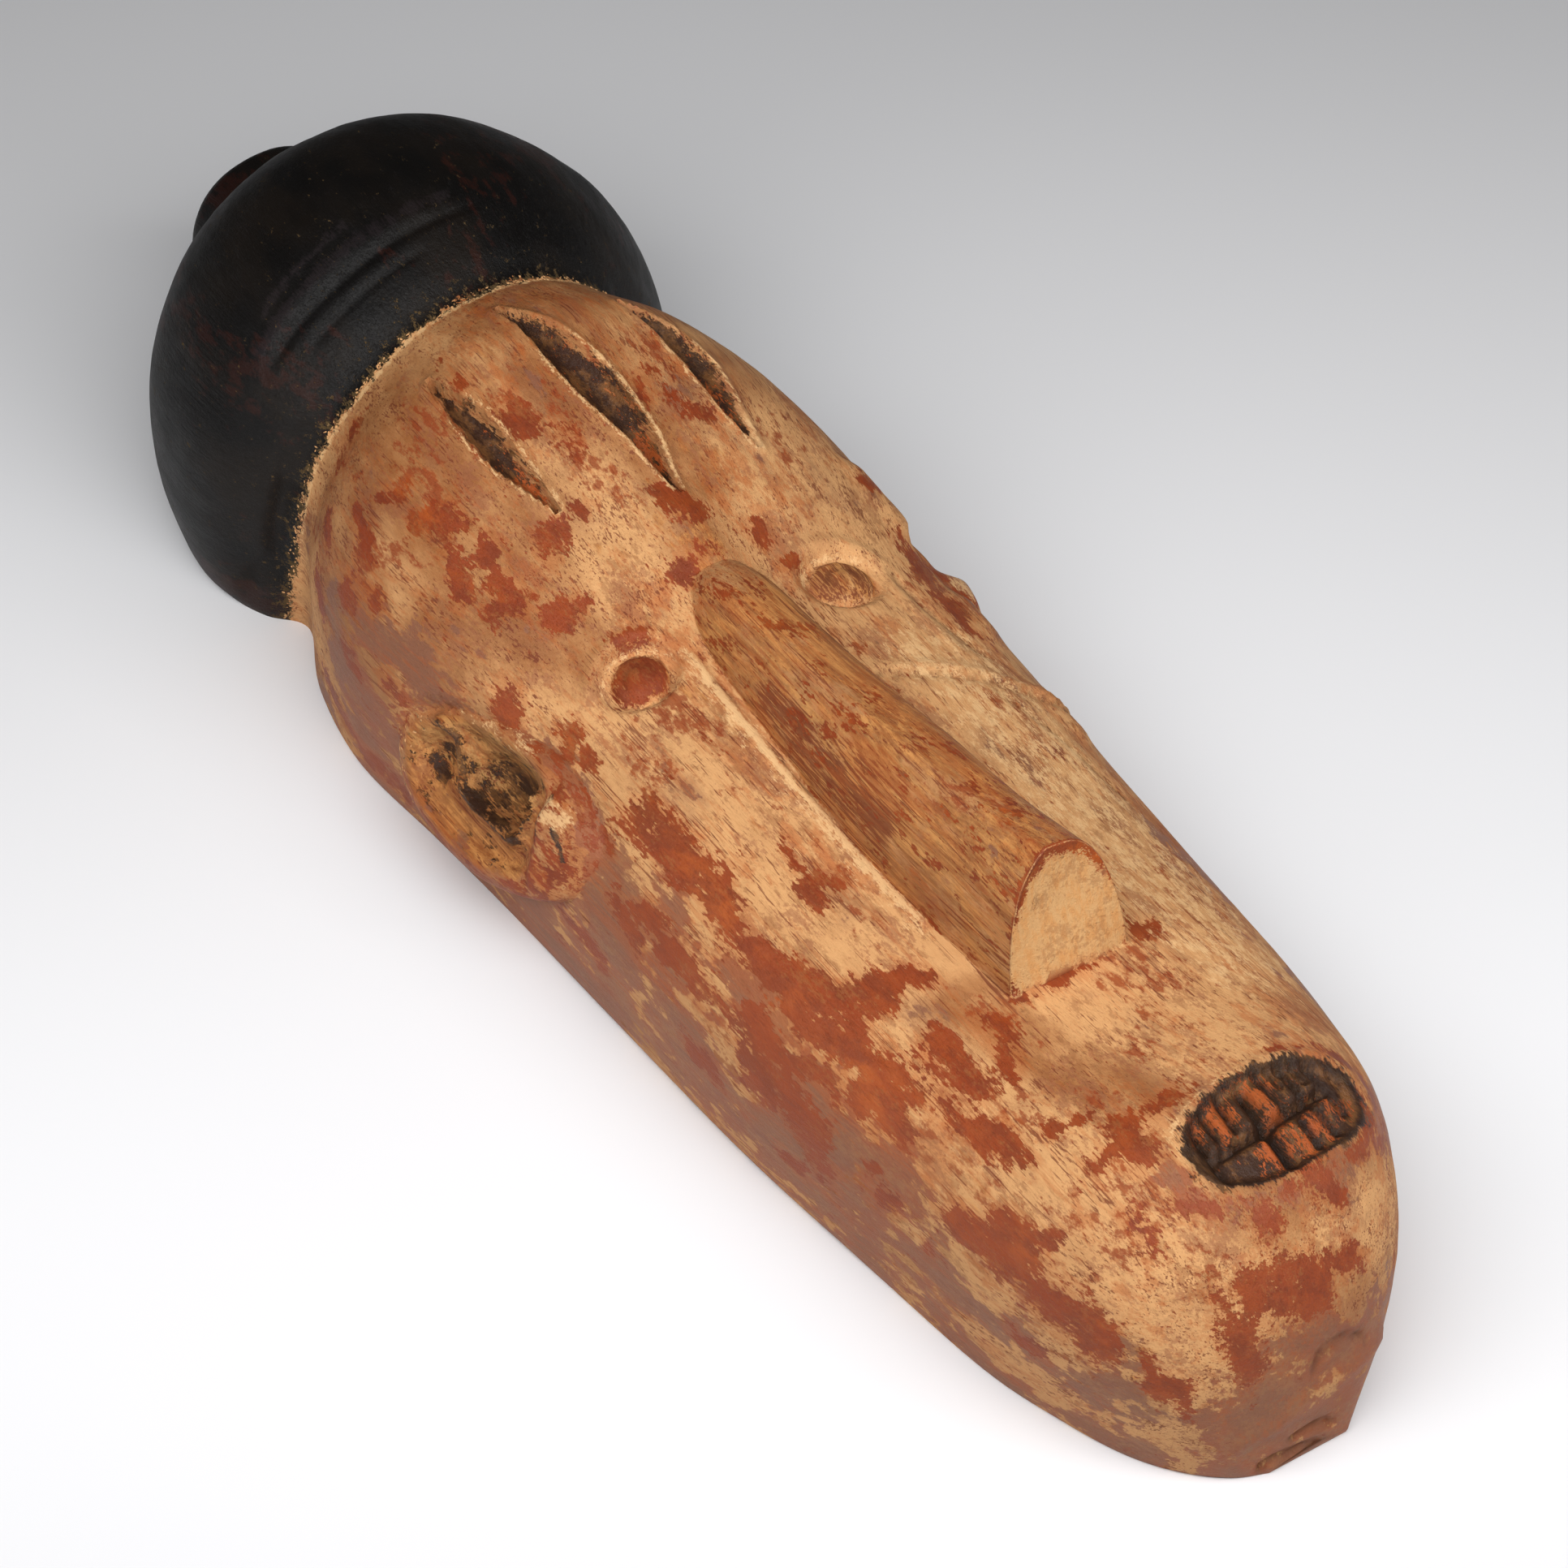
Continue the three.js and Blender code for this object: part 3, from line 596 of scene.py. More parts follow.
def body_marks(points, u, v):
    x, y, z = points.T
    front = rise(*FACE_FROM, z)
    border = v - np.interp(u, *zip(*CAP_BORDER))
    marks = no_marks(len(points))
    marks["ochre"] = stroke_field(OCHRE_STROKES, u, v)
    marks["haze"] = strongest(HAZE_STROKES, u, v, lambda away, width: rise(1.3, 0.4, away / width))
    marks["glow"] = front * stroke_field(GLOW_STROKES, x, y)
    marks["cap"] = np.clip(0.5 + border / 14, 0, 1)
    marks["crust"] = np.clip(1 - np.abs(border - 0.3) / 2.6, 0, 1)
    marks["dust"] = np.where(border > -1, np.exp(-np.maximum(border, 0) / 5), 0)
    marks["pale"] = 0.62 * hump(border + 1.2, 2.2) * rise(150, 90, np.abs(u))
    marks["chine"] = 0.25 + 0.75 * hump(u + 67, 7)
    # a painted highlight along the crease of the cap
    marks["crease_highlight"] = strongest(CREASE_HIGHLIGHT_LINES, u, v, lambda away, width: rise(1.6, 0.2, away / width))
    for side, (eye_x, eye_y, half_width, half_length) in enumerate(EYES):
        reach = np.hypot((x - eye_x) / half_width, (y - eye_y) / half_length)
        boss = front * rise(1.15, 0.85, reach)
        if side == 0:
            strengthen(marks, "ochre", 0.78 * boss)
        strengthen(marks, "bare", 0.7 * boss)
        arcs = hump(reach - 0.5, 0.14) * 0.5 * rise(-4, 2, y - eye_y)
        strengthen(marks, "groove", front * arcs)
        strengthen(marks, "stroke", 0.52 * boss)
        ring = hump(reach - 1.3, 0.16) * rise(-8, 6, y - eye_y)
        strengthen(marks, "pale", front * 0.55 * ring)
    for stroke, _ in BROW_CUTS:
        away, width, share = stroke_place(stroke, x, y)
        half = np.maximum(width * np.sin(np.pi * np.clip(share, 0.02, 0.98)) ** 0.6, 0.5)
        strengthen(marks, "dark", front * np.clip(1.05 - 0.6 * away / half, 0, 1))
        strengthen(marks, "groove", front * 0.25 * hump(away, 0.35 * half))
        lip = hump(away - half - 1.2, 1.2) * rise(0.0, 0.4, share)
        strengthen(marks, "pale", front * 0.58 * lip)
    reach = mouth_reach(x, y)
    mouth = np.clip(0.5 + 4 * (1.02 - reach), 0, 1) * front
    strengthen(marks, "dark", mouth)
    strengthen(marks, "dark", front * 0.4 * hump(reach - 1.08, 0.1))
    smear = hump(reach - 1.22, 0.16) * np.maximum(rise(8, 24, x), 0.7 * rise(-214, -226, y))
    strengthen(marks, "ochre", front * 0.66 * smear)
    bristles = hump(reach - 1.14, 0.08) * rise(14, 0, x) * rise(-216, -204, y)
    strengthen(marks, "pale", front * 0.5 * bristles)
    ring = front * 0.62 * hump(reach - 1.26, 0.22) * rise(-200, -215, y)
    for stroke, depth in TOOTH_CUTS:
        away, width, _ = stroke_place(stroke, x, y)
        line = hump(away, 0.8 * width) * min(1, 0.5 + depth / 6)
        strengthen(marks, "groove", front * line * rise(1.06, 0.96, reach))
    strengthen(marks, "groove", front * 0.8 * hump(reach - 0.97, 0.05))
    # Dark groove colour along the first cuts: grime in the cracks, and painted shadow under the ledge on the
    # right cheek.
    for stroke, _ in SURFACE_CUTS[:DARKENED_CUTS]:
        away, width, _ = stroke_place(stroke, u, v)
        strengthen(marks, "groove", 0.7 * hump(away, 0.8 * width))
    away, width, _ = stroke_place(NOSE_FOOT, u, v)
    strengthen(marks, "pale", 0.7 * hump(away, width))
    strengthen(marks, "pale", 0.44 * hump(away, 8) * rise(-18, -23, u))
    # Mauve low on the sides and along the foot by the floor is partly the red paint of the sides and partly
    # painted shade, darker lower down.
    low = rise(84, 42, z)
    left = 0.68 * rise(-52, -72, u) * rise(480, 430, v) * (0.6 + 0.4 * rise(110, 170, v))
    side = low * np.maximum(left, 0.52 * rise(46, 68, u))
    bright = rise(16, 34, u) * rise(78, 58, u) * rise(125, 160, v) * rise(345, 315, v)
    strengthen(marks, "pale", 0.45 * bright)
    root = np.exp(-((u / 14) ** 2) - ((v - 376) / 20) ** 2)
    strengthen(marks, "bare", 0.62 * root)
    strengthen(marks, "haze", root)
    chin = rise(66, 34, v)
    hem = 0.62 * rise(24, 7, z) * rise(490, 460, v)
    marks["mauve"] = np.maximum.reduce([side, 0.76 * chin, ring, hem])
    marks["tool"] = rise(2, 9, z) * (1 - 0.9 * np.clip(mouth * 2, 0, 1))
    return marks


def nose_marks(points, scale, share):
    x, y, z = points.T
    marks = no_marks(len(points))
    end = np.where(scale < NOSE_SKIN, 1.0, 0.0)
    inward = np.where(scale < NOSE_SKIN, (1 - scale) * 21, share * 197)
    high = rise(88, 104, z)
    foot = rise(80, 72, z)
    band = np.where(end > 0, -0.5 + 3.6 * high + 2.4 * foot, -0.2 + 2.6 * high)
    rim = np.clip(0.5 + (band - inward) / 7, 0, 0.86) * rise(10, 5, inward)
    side = rise(0, -10, x)
    marks["raw"] = end
    marks["edge"] = rim * end
    marks["haze"] = (1 - end) * (0.25 + 0.55 * rise(0.95, 0.8, share))
    root = rise(0.93, 0.74, share)
    # The left facet is painted darker olive with less bare wood: partly dirt on the wood, partly painted
    # shade on the nose's left side.
    left = rise(-2, -9, x + 4 * share)
    marks["bare"] = (1 - end) * root * (0.72 - 0.14 * left)
    marks["olive"] = (1 - end) * root * (0.36 * left + 0.04)
    streaks = np.maximum(0.3 + 0.16 * foot * left, 0.44 * rise(0.8, 0.92, share))
    marks["ochre"] = np.maximum(rim, (1 - end) * streaks)
    # Brighter ochre on the top of the nose: partly rubbed paint, partly painted light on the top.
    marks["chine"] = 0.2 + 0.8 * high
    marks["groove"] = 0.75 * side * hump(inward - 0.3, 0.5) * rise(0.02, 0.0, share)
    streak, _, _ = stroke_place([(-17, -8, 6), (-19, -40, 6), (-20, -72, 6)], x, y)
    stroke = hump(streak, 4.5) * (1 - end)
    marks["stroke"] = 0.8 * stroke
    for line in NOSE_END_CRACKS:
        away, _, _ = stroke_place(line, x, z)
        strengthen(marks, "dark", end * 0.52 * hump(away, 0.9))
    marks["tool"] = np.full(len(points), 0.6) * (1 - end)
    return marks


def ear_marks(points, y, z):
    marks = no_marks(len(points))
    reach = np.hypot(y / EAR["half_length"], z / EAR["half_height"])
    bowl = np.hypot((y - EAR_BOWL[0]) / EAR_BOWL[2], (z - EAR_BOWL[1]) / EAR_BOWL[3])
    away, width, _ = stroke_place(EAR_RIDGE, y, z)
    dish = rise(0.9, 0.74, reach) * rise(-28, -20, y)
    marks["haze"] = 0.6 + 0.4 * dish
    marks["bare"] = 0.95 * dish
    marks["olive"] = 0.62 * dish * rise(-8, 4, z)
    pit = np.hypot(y - EAR_PIT[0], z - EAR_PIT[1]) / EAR_PIT[2]
    # The dish is painted darker, deepest in the bowl, the pit and round the ridge, with a dark line along the
    # bowl's lower edge under the ridge.
    marks["dark"] = np.maximum(0.58 * rise(1.5, 0.5, bowl), 0.34 * dish)
    strengthen(marks, "dark", 0.56 * rise(2.0, 0.6, pit))
    strengthen(marks, "dark", 0.6 * hump(away, 1.2 * width) * dish)
    marks["groove"] = 0.6 * hump(bowl - 0.85, 0.2) * rise(9, -3, z)
    lobe = rise(-20, -29, y)
    marks["ochre"] = np.maximum(0.44 * rise(0.74, 0.9, reach), 0.56 * lobe)
    marks["chine"] = 0.3 + 0 * y
    marks["mauve"] = 0.5 * rise(0.84, 0.96, reach)
    # A painted highlight of pale clay on the top of the lobe's bump; the pale line along the ear's upper edge
    # is kaolin.
    spot = np.hypot((y + 33) / 9, (z - 9) / 4.5)
    marks["pale"] = np.maximum(0.56 * rise(1.5, 0.5, spot), 0.4 * rise(15, 19, z) * rise(-22, -10, y))
    cracks = [stroke_place(line, y, z)[0] for line in EAR_CRACKS]
    strengthen(marks, "dark", 0.56 * hump(np.minimum(*cracks), 2))
    marks["crust"] = 0.3 * rise(30, 42, y) * rise(1.05, 0.9, reach)
    marks["tool"] = np.full(len(points), 0.4)
    return marks


def knob_marks(points):
    marks = no_marks(len(points))
    marks["cap"] = np.ones(len(points))
    marks["tool"] = rise(KNOB["end"], KNOB["end"] - 6, points[:, 1])
    return marks


def hollow_marks(points):
    marks = no_marks(len(points))
    marks["tool"] = rise(3, 12, points[:, 2])
    return marks


def in_metres(points):
    return (np.asarray(points) - MIDDLE) * MM


def closed_object(name, points, faces):
    mesh = bpy.data.meshes.new(name)
    mesh.from_pydata(points.tolist(), [], faces)
    shape = bmesh.new()
    shape.from_mesh(mesh)
    bmesh.ops.recalc_face_normals(shape, faces=shape.faces)
    shape.to_mesh(mesh)
    shape.free()
    piece = bpy.data.objects.new(name, mesh)
    bpy.context.scene.collection.objects.link(piece)
    return piece


def apply_modifiers(piece):
    bpy.context.view_layer.update()
    settled = bpy.data.meshes.new_from_object(piece.evaluated_get(bpy.context.evaluated_depsgraph_get()))
    piece.modifiers.clear()
    old, piece.data = piece.data, settled
    settled.name = piece.name
    bpy.data.meshes.remove(old)


def combine(piece, other, operation):
    joint = piece.modifiers.new("Joint", "BOOLEAN")
    joint.operation, joint.solver, joint.object = operation, "MANIFOLD", other
    apply_modifiers(piece)
    mesh = other.data
    bpy.data.objects.remove(other)
    bpy.data.meshes.remove(mesh)


def carve_parts(shape):
    """Joins the carved parts into one closed mesh, and gives each point the marks of the part it
    came from."""
    parts = [body_mesh(shape), nose_mesh(), knob_mesh()]
    parts += [ear_mesh(side, away, along) for side, away, along in EAR_PLACES]
    parts.append(hollow_mesh())
    makers = {BODY: body_marks, NOSE_PART: nose_marks, KNOB_PART: lambda p, u, v: knob_marks(p),
              EAR_PART: ear_marks, HOLLOW_PART: lambda p, u, v: hollow_marks(p)}
    piece, places, kinds, marks = None, [], [], []
    for points, faces, part, u, v in parts:
        there = in_metres(points)
        solid = closed_object("carved_mask", there, faces)
        if piece is None:
            piece = solid
        else:
            combine(piece, solid, "DIFFERENCE" if part == HOLLOW_PART else "UNION")
        places.append(there)
        kinds.append(np.full(len(points), part))
        marks.append(makers[part](points, u, v))
    return piece, np.concatenate(places), np.concatenate(kinds), {
        name: np.concatenate([part[name] for part in marks]) for name in MARKS}


def carry_marks(piece, places, kinds, marks, seam):
    """Gives the joined mesh its marks, and softens the seams between parts."""
    tree = kdtree.KDTree(len(places))
    for k, place in enumerate(places):
        tree.insert(place, k)
    tree.balance()
    vertices = piece.data.vertices
    nearest = np.array([tree.find(vertex.co)[1] for vertex in vertices])
    kind = kinds[nearest]
    by_seam = np.zeros(len(vertices), bool)
    for k, vertex in enumerate(vertices):
        if kind[k] in (NOSE_PART, EAR_PART, KNOB_PART):
            near = [i for _, i, _ in tree.find_range(vertex.co, seam)]
            by_seam[k] = any(kinds[i] == BODY for i in near)
    for name, values in (*marks.items(), ("hollow", kinds == HOLLOW_PART)):
        layer = piece.data.attributes.new(name, "FLOAT", "POINT")
        layer.data.foreach_set("value", values[nearest].astype(np.float32))
    shape = bmesh.new()
    shape.from_mesh(piece.data)
    shape.verts.ensure_lookup_table()
    chosen = [shape.verts[k] for k in np.nonzero(by_seam)[0]]
    for _ in range(SEAM_PASSES):
        bmesh.ops.smooth_vert(shape, verts=chosen, factor=0.5, use_axis_x=True, use_axis_y=True,
                              use_axis_z=True)
    shape.to_mesh(piece.data)
    shape.free()


def add(tree, kind, inputs, **settings):
    node = tree.nodes.new(kind)
    for name, value in settings.items():
        setattr(node, name, value)
    for key, value in inputs.items():
        if isinstance(value, bpy.types.NodeSocket):
            tree.links.new(value, node.inputs[key])
        else:
            node.inputs[key].default_value = value
    return node


def new_tree(name, kind, inputs, outputs):
    tree = bpy.data.node_groups.new(name, kind)
    for label, socket_kind, default in inputs:
        socket = tree.interface.new_socket(label, in_out="INPUT", socket_type=socket_kind)
        if default is not None:
            socket.default_value = default
    for label, socket_kind in outputs:
        tree.interface.new_socket(label, in_out="OUTPUT", socket_type=socket_kind)
    return tree, tree.nodes.new("NodeGroupInput").outputs, tree.nodes.new("NodeGroupOutput").inputs


def maths(tree, operation, first, second=0.0, clamp=False):
    return add(tree, "ShaderNodeMath", {0: first, 1: second}, operation=operation,
               use_clamp=clamp).outputs[0]


def plus(tree, first, second, clamp=False):
    return maths(tree, "ADD", first, second, clamp)


def minus(tree, first, second):
    return maths(tree, "SUBTRACT", first, second)


def product(tree, first, second):
    return maths(tree, "MULTIPLY", first, second)


def noise(tree, vector, scale, detail=3.0, roughness=0.55):
    texture = add(tree, "ShaderNodeTexNoise", {"Vector": vector, "Scale": scale, "Detail": detail,
                                               "Roughness": roughness})
    return texture.outputs["Fac"]


def between(tree, value, low, high):
    return add(tree, "ShaderNodeMapRange", {"Value": value, "From Min": low, "From Max": high},
               interpolation_type="SMOOTHSTEP").outputs["Result"]


def stretched(tree, vector, x, y, z):
    return add(tree, "ShaderNodeMapping", {"Vector": vector, "Scale": (x, y, z)}).outputs[0]


def blend(tree, share, under, over, kind="MIX"):
    return add(tree, "ShaderNodeMix", {0: share, 6: under, 7: over}, data_type="RGBA",
               blend_type=kind).outputs[2]


def blend_values(tree, share, under, over):
    return add(tree, "ShaderNodeMix", {0: share, 2: under, 3: over}, data_type="FLOAT").outputs[0]


def mark(tree, name):
    return add(tree, "ShaderNodeAttribute", {}, attribute_name=name).outputs["Fac"]


def paint(red, green, blue):
    """A colour named by its 0 to 255 screen values."""
    shares = [value / 255 for value in (red, green, blue)]
    return (*[s / 12.92 if s <= 0.04045 else ((s + 0.055) / 1.055) ** 2.4 for s in shares], 1.0)


def ragged_edge_effect():
    """Turns a soft field into a patch with a torn edge, scratched along the grain."""
    tree, given, result = new_tree(
        "Ragged Edge", "ShaderNodeTree",
        [("Vector", "NodeSocketVector", None), ("Field", "NodeSocketFloat", 0.5),
         ("Wander", "NodeSocketFloat", 0.5), ("Patch Scale", "NodeSocketFloat", 0.12),
         ("Softness", "NodeSocketFloat", 0.03), ("Scratches", "NodeSocketFloat", 0.6)],
        [("Mask", "NodeSocketFloat")])
    coarse = noise(tree, given["Vector"], given["Patch Scale"], 2.0)
    fine = noise(tree, given["Vector"], product(tree, given["Patch Scale"], 4.5), 4.0, 0.6)
    hairs = noise(tree, stretched(tree, given["Vector"], 1.0, 0.14, 1.0),
                  product(tree, given["Patch Scale"], 9.0), 2.0, 0.6)
    swing = plus(tree, minus(tree, coarse, 0.5),
                  product(tree, minus(tree, fine, 0.5), 0.75))
    swing = plus(tree, swing, product(tree, minus(tree, hairs, 0.5),
                                            given["Scratches"]))
    swing = product(tree, swing, product(tree, given["Wander"], 2.0))
    value = plus(tree, given["Field"], swing)
    low = minus(tree, 0.5, given["Softness"])
    high = plus(tree, 0.5, given["Softness"])
    tree.links.new(between(tree, value, low, high), result["Mask"])
    return tree


def wood_grain_effect():
    """Fine streaks along the length of the carving, hair lines among them, and pores."""
    tree, given, result = new_tree(
        "Wood Grain", "ShaderNodeTree",
        [("Vector", "NodeSocketVector", None), ("Line Scale", "NodeSocketFloat", 0.5),
         ("Drift", "NodeSocketFloat", 0.6)],
        [("Streaks", "NodeSocketFloat"), ("Hair Lines", "NodeSocketFloat"), ("Pores", "NodeSocketFloat")])
    drift = noise(tree, stretched(tree, given["Vector"], 0.02, 0.012, 0.02), 1.0, 1.0)
    shift = add(tree, "ShaderNodeVectorMath", {0: given["Vector"]}, operation="ADD")
    amount = product(tree, product(tree, drift, given["Drift"]), 30.0)
    push = add(tree, "ShaderNodeCombineXYZ", {"X": amount, "Z": amount}).outputs[0]
    tree.links.new(push, shift.inputs[1])
    lines = noise(tree, stretched(tree, shift.outputs[0], 1.0, 0.035, 1.0), given["Line Scale"], 4.0, 0.7)
    tree.links.new(between(tree, lines, 0.32, 0.68), result["Streaks"])
    hairs = noise(tree, stretched(tree, shift.outputs[0], 1.0, 0.06, 1.0),
                  product(tree, given["Line Scale"], 3.4), 3.0, 0.65)
    tree.links.new(between(tree, hairs, 0.55, 0.66), result["Hair Lines"])
    pores = noise(tree, stretched(tree, shift.outputs[0], 1.0, 0.2, 1.0),
                  product(tree, given["Line Scale"], 4.6), 2.0, 0.6)
    tree.links.new(between(tree, pores, 0.6, 0.68), result["Pores"])
    return tree


def speckle_effect():
    """Small stains, gathered in patches."""
    tree, given, result = new_tree(
        "Speckle", "ShaderNodeTree",
        [("Vector", "NodeSocketVector", None), ("Scale", "NodeSocketFloat", 0.3),
         ("Cover", "NodeSocketFloat", 0.4), ("Patchiness", "NodeSocketFloat", 0.5)],
        [("Mask", "NodeSocketFloat")])
    spots = noise(tree, given["Vector"], given["Scale"], 4.0, 0.68)
    where = noise(tree, given["Vector"], product(tree, given["Scale"], 0.12), 3.0)
    lift = product(tree, minus(tree, where, 0.5), given["Patchiness"])
    limit = minus(tree, 0.68, product(tree, given["Cover"], 0.3))
    value = minus(tree, plus(tree, spots, lift), limit)
    tree.links.new(between(tree, value, -0.03, 0.1), result["Mask"])
    return tree


def shared_effects():
    """The ragged edge, wood grain and speckle groups, built the first time they are asked for."""
    makers = {"Ragged Edge": ragged_edge_effect, "Wood Grain": wood_grain_effect,
              "Speckle": speckle_effect}
    return [bpy.data.node_groups.get(name) or make() for name, make in makers.items()]


def use_effect(tree, effect, inputs):
    return add(tree, "ShaderNodeGroup", inputs, node_tree=effect).outputs


def new_material(name):
    material = bpy.data.materials.new(name)
    material.use_nodes = True
    tree = material.node_tree
    shader = tree.nodes["Principled BSDF"]
    place = add(tree, "ShaderNodeTexCoord", {}).outputs["Object"]
    millimetres = stretched(tree, place, 1000, 1000, 1000)
    return material, tree, shader, millimetres


def roughen(tree, shader, height, strength, distance):
    bump = add(tree, "ShaderNodeBump", {"Strength": strength, "Distance": distance, "Height": height})
    tree.links.new(bump.outputs["Normal"], shader.inputs["Normal"])


def painted_wood(paints, effects):
    """Kaolin over red earth over bare wood, with the sooted cap and the raw end of the nose."""
    ragged, grain, speckle = effects
    material, tree, shader, place = new_material("kaolin_and_ochre_wood")
    along = stretched(tree, place, 1.0, 0.45, 1.0)
    grain_wise = stretched(tree, place, 1.0, 0.38, 1.0)
    drawn = stretched(tree, place, 1.0, 0.1, 1.0)
    wood = use_effect(tree, grain, {"Vector": place, "Line Scale": 0.6, "Drift": 0.22})

    def times(value, share):
        return product(tree, value, share)

    def torn(field, wander, patch, softness, scratches=0.6, vector=along):
        return use_effect(tree, ragged, {"Vector": vector, "Field": field, "Wander": wander,
                                         "Patch Scale": patch, "Softness": softness,
                                         "Scratches": scratches})["Mask"]

    def specks(scale, cover, patchiness, vector=grain_wise):
        return use_effect(tree, speckle, {"Vector": vector, "Scale": scale, "Cover": cover,
                                          "Patchiness": patchiness})["Mask"]

    def centred(value, share):
        return times(minus(tree, value, 0.5), share)

    clouds = noise(tree, along, 0.03, 4.0, 0.6)
    billows = noise(tree, along, 0.13, 5.0, 0.68)
    worn = plus(tree, times(mark(tree, "haze"), 0.8), centred(clouds, 1.5), True)
    worn = plus(tree, worn, centred(billows, 1.3), True)
    clay = blend(tree, worn, paints.kaolin, paints.kaolin_worn)
    bruise = between(tree, noise(tree, along, 0.06, 5.0, 0.68), 0.5, 0.68)
    clay = blend(tree, times(bruise, 0.32), clay, paints.mauve_dull)
    clay = blend(tree, times(specks(0.22, 0.3, 1.1), 0.45), clay, paints.ochre_bright)
    clay = blend(tree, times(specks(0.4, 0.3, 1.1), 0.5), clay, paints.umber)
    clay = blend(tree, times(specks(0.85, 0.3, 1.1), 0.5), clay, paints.stain)
    clay = blend(tree, times(specks(0.34, 0.05, 1.2, along), 0.8), clay, paints.ochre)
    streaky = between(tree, noise(tree, along, 0.05, 2.0), 0.42, 0.62)
    clay = blend(tree, times(times(wood["Hair Lines"], streaky), 0.22), clay, paints.bare_dark)
    # Clay where the mauve mark lies is greyed: partly dust, partly painted shade low on the sides.
    clay = blend(tree, times(mark(tree, "mauve"), 0.55), clay, paints.kaolin_dust_and_shade)

    bare = blend(tree, wood["Streaks"], paints.bare_dark, paints.bare)
    bare = blend(tree, times(wood["Hair Lines"], 0.6), bare, paints.bare_dark)
    bare = blend(tree, times(specks(0.7, 0.44, 0.9), 0.5), bare, paints.umber)
    bare_mask = torn(mark(tree, "bare"), 0.8, 0.07, 0.22)
    colour = blend(tree, times(bare_mask, 0.85), clay, bare)
    olive = torn(mark(tree, "olive"), 0.5, 0.16, 0.3)
    dull_wood = blend(tree, wood["Streaks"], paints.olive_dark, paints.olive)
    colour = blend(tree, times(olive, 0.8), colour, dull_wood)

    streaked = torn(mark(tree, "stroke"), 0.9, 0.2, 0.16, 2.0, drawn)
    colour = blend(tree, times(streaked, 0.75), colour, paints.ochre_dark)

    # The mauve layer: the red paint of the sides, chin and mouth ring, and on the lower sides partly painted
    # shade.
    mauve_mask = torn(mark(tree, "mauve"), 0.95, 0.06, 0.07, 0.3)
    shades = between(tree, noise(tree, along, 0.06, 4.0), 0.35, 0.65)
    mauve = blend(tree, shades, paints.mauve, paints.mauve_dull)
    mauve = blend(tree, times(specks(0.8, 0.5, 0.8), 0.3), mauve, paints.kaolin_dust_and_shade)
    colour = blend(tree, times(mauve_mask, 0.9), colour, mauve)

    ochre_field = mark(tree, "ochre")
    ochre_mask = torn(ochre_field, 0.75, 0.16, 0.07, 0.5)
    stain = torn(plus(tree, ochre_field, 0.16), 0.9, 0.12, 0.2, 0.9, drawn)
    rubbed = between(tree, noise(tree, along, 0.1, 4.0, 0.65), 0.44, 0.7)
    ochre = blend(tree, times(rubbed, mark(tree, "chine")), paints.ochre, paints.ochre_bright)
    ochre = blend(tree, times(between(tree, billows, 0.46, 0.62), 0.6), ochre, paints.ochre_dark)
    ochre = blend(tree, times(wood["Hair Lines"], 0.35), ochre, paints.ochre_dark)
    ochre = blend(tree, times(specks(0.9, 0.34, 0.7), 0.45), ochre, paints.kaolin_worn)
    # Red earth where the mauve mark lies turns mauve: partly the red of the sides, partly painted shade.
    ochre = blend(tree, times(mark(tree, "mauve"), 0.5), ochre, paints.mauve)
    colour = blend(tree, times(stain, 0.3), colour, paints.ochre_bright)
    colour = blend(tree, times(ochre_mask, 0.94), colour, ochre)

    dark_mask = torn(mark(tree, "dark"), 0.42, 0.22, 0.06)
    mottle = between(tree, noise(tree, along, 0.2, 6.0, 0.72), 0.46, 0.62)
    dark = blend(tree, mottle, paints.dark_cut, paints.dark_cut_worn)
    glow_mask = torn(mark(tree, "glow"), 0.8, 0.3, 0.05, 1.0)
    dark = blend(tree, times(glow_mask, 0.9), dark, paints.glow)
    dark = blend(tree, mark(tree, "groove"), dark, paints.groove)
    colour = blend(tree, times(dark_mask, 0.95), colour, dark)
    colour = blend(tree, times(mark(tree, "groove"), 0.55), colour, paints.groove)
    pale = torn(mark(tree, "pale"), 0.45, 0.4, 0.12)
    colour = blend(tree, times(pale, 0.85), colour, paints.kaolin_bright)

    end_lines = noise(tree, stretched(tree, place, 0.35, 0.2, 0.12), 1.2, 4.0, 0.65)
    raw = blend(tree, times(between(tree, end_lines, 0.4, 0.64), 0.55), paints.raw_wood, paints.bare)
    raw = blend(tree, times(specks(0.7, 0.36, 0.9), 0.35), raw, paints.umber)
    edge = torn(mark(tree, "edge"), 0.55, 0.3, 0.06)
    raw_mask = times(mark(tree, "raw"), minus(tree, 1.0, edge))
    colour = blend(tree, raw_mask, colour, raw)

    cap_mask = torn(mark(tree, "cap"), 0.35, 0.25, 0.04, 0.3, place)
    handled = between(tree, noise(tree, along, 0.05, 4.0), 0.38, 0.7)
    soot = blend(tree, handled, paints.soot, paints.soot_worn)
    soot = blend(tree, times(specks(0.25, 0.2, 1.4), 0.1), soot, paints.ochre_dark)
    # Painted highlight: a lighter streak on the soot along the crease of the cap
    crease_highlight = torn(times(mark(tree, "crease_highlight"), 0.66), 0.6, 0.3, 0.25, 1.0)
    soot = blend(tree, times(crease_highlight, 0.4), soot, paints.soot_highlight)
    dusty = torn(times(mark(tree, "dust"), 0.6), 0.9, 0.5, 0.08, 0.4)
    soot = blend(tree, times(dusty, 0.6), soot, paints.olive_dust)
    colour = blend(tree, cap_mask, colour, soot)
    tree.links.new(colour, shader.inputs["Base Color"])

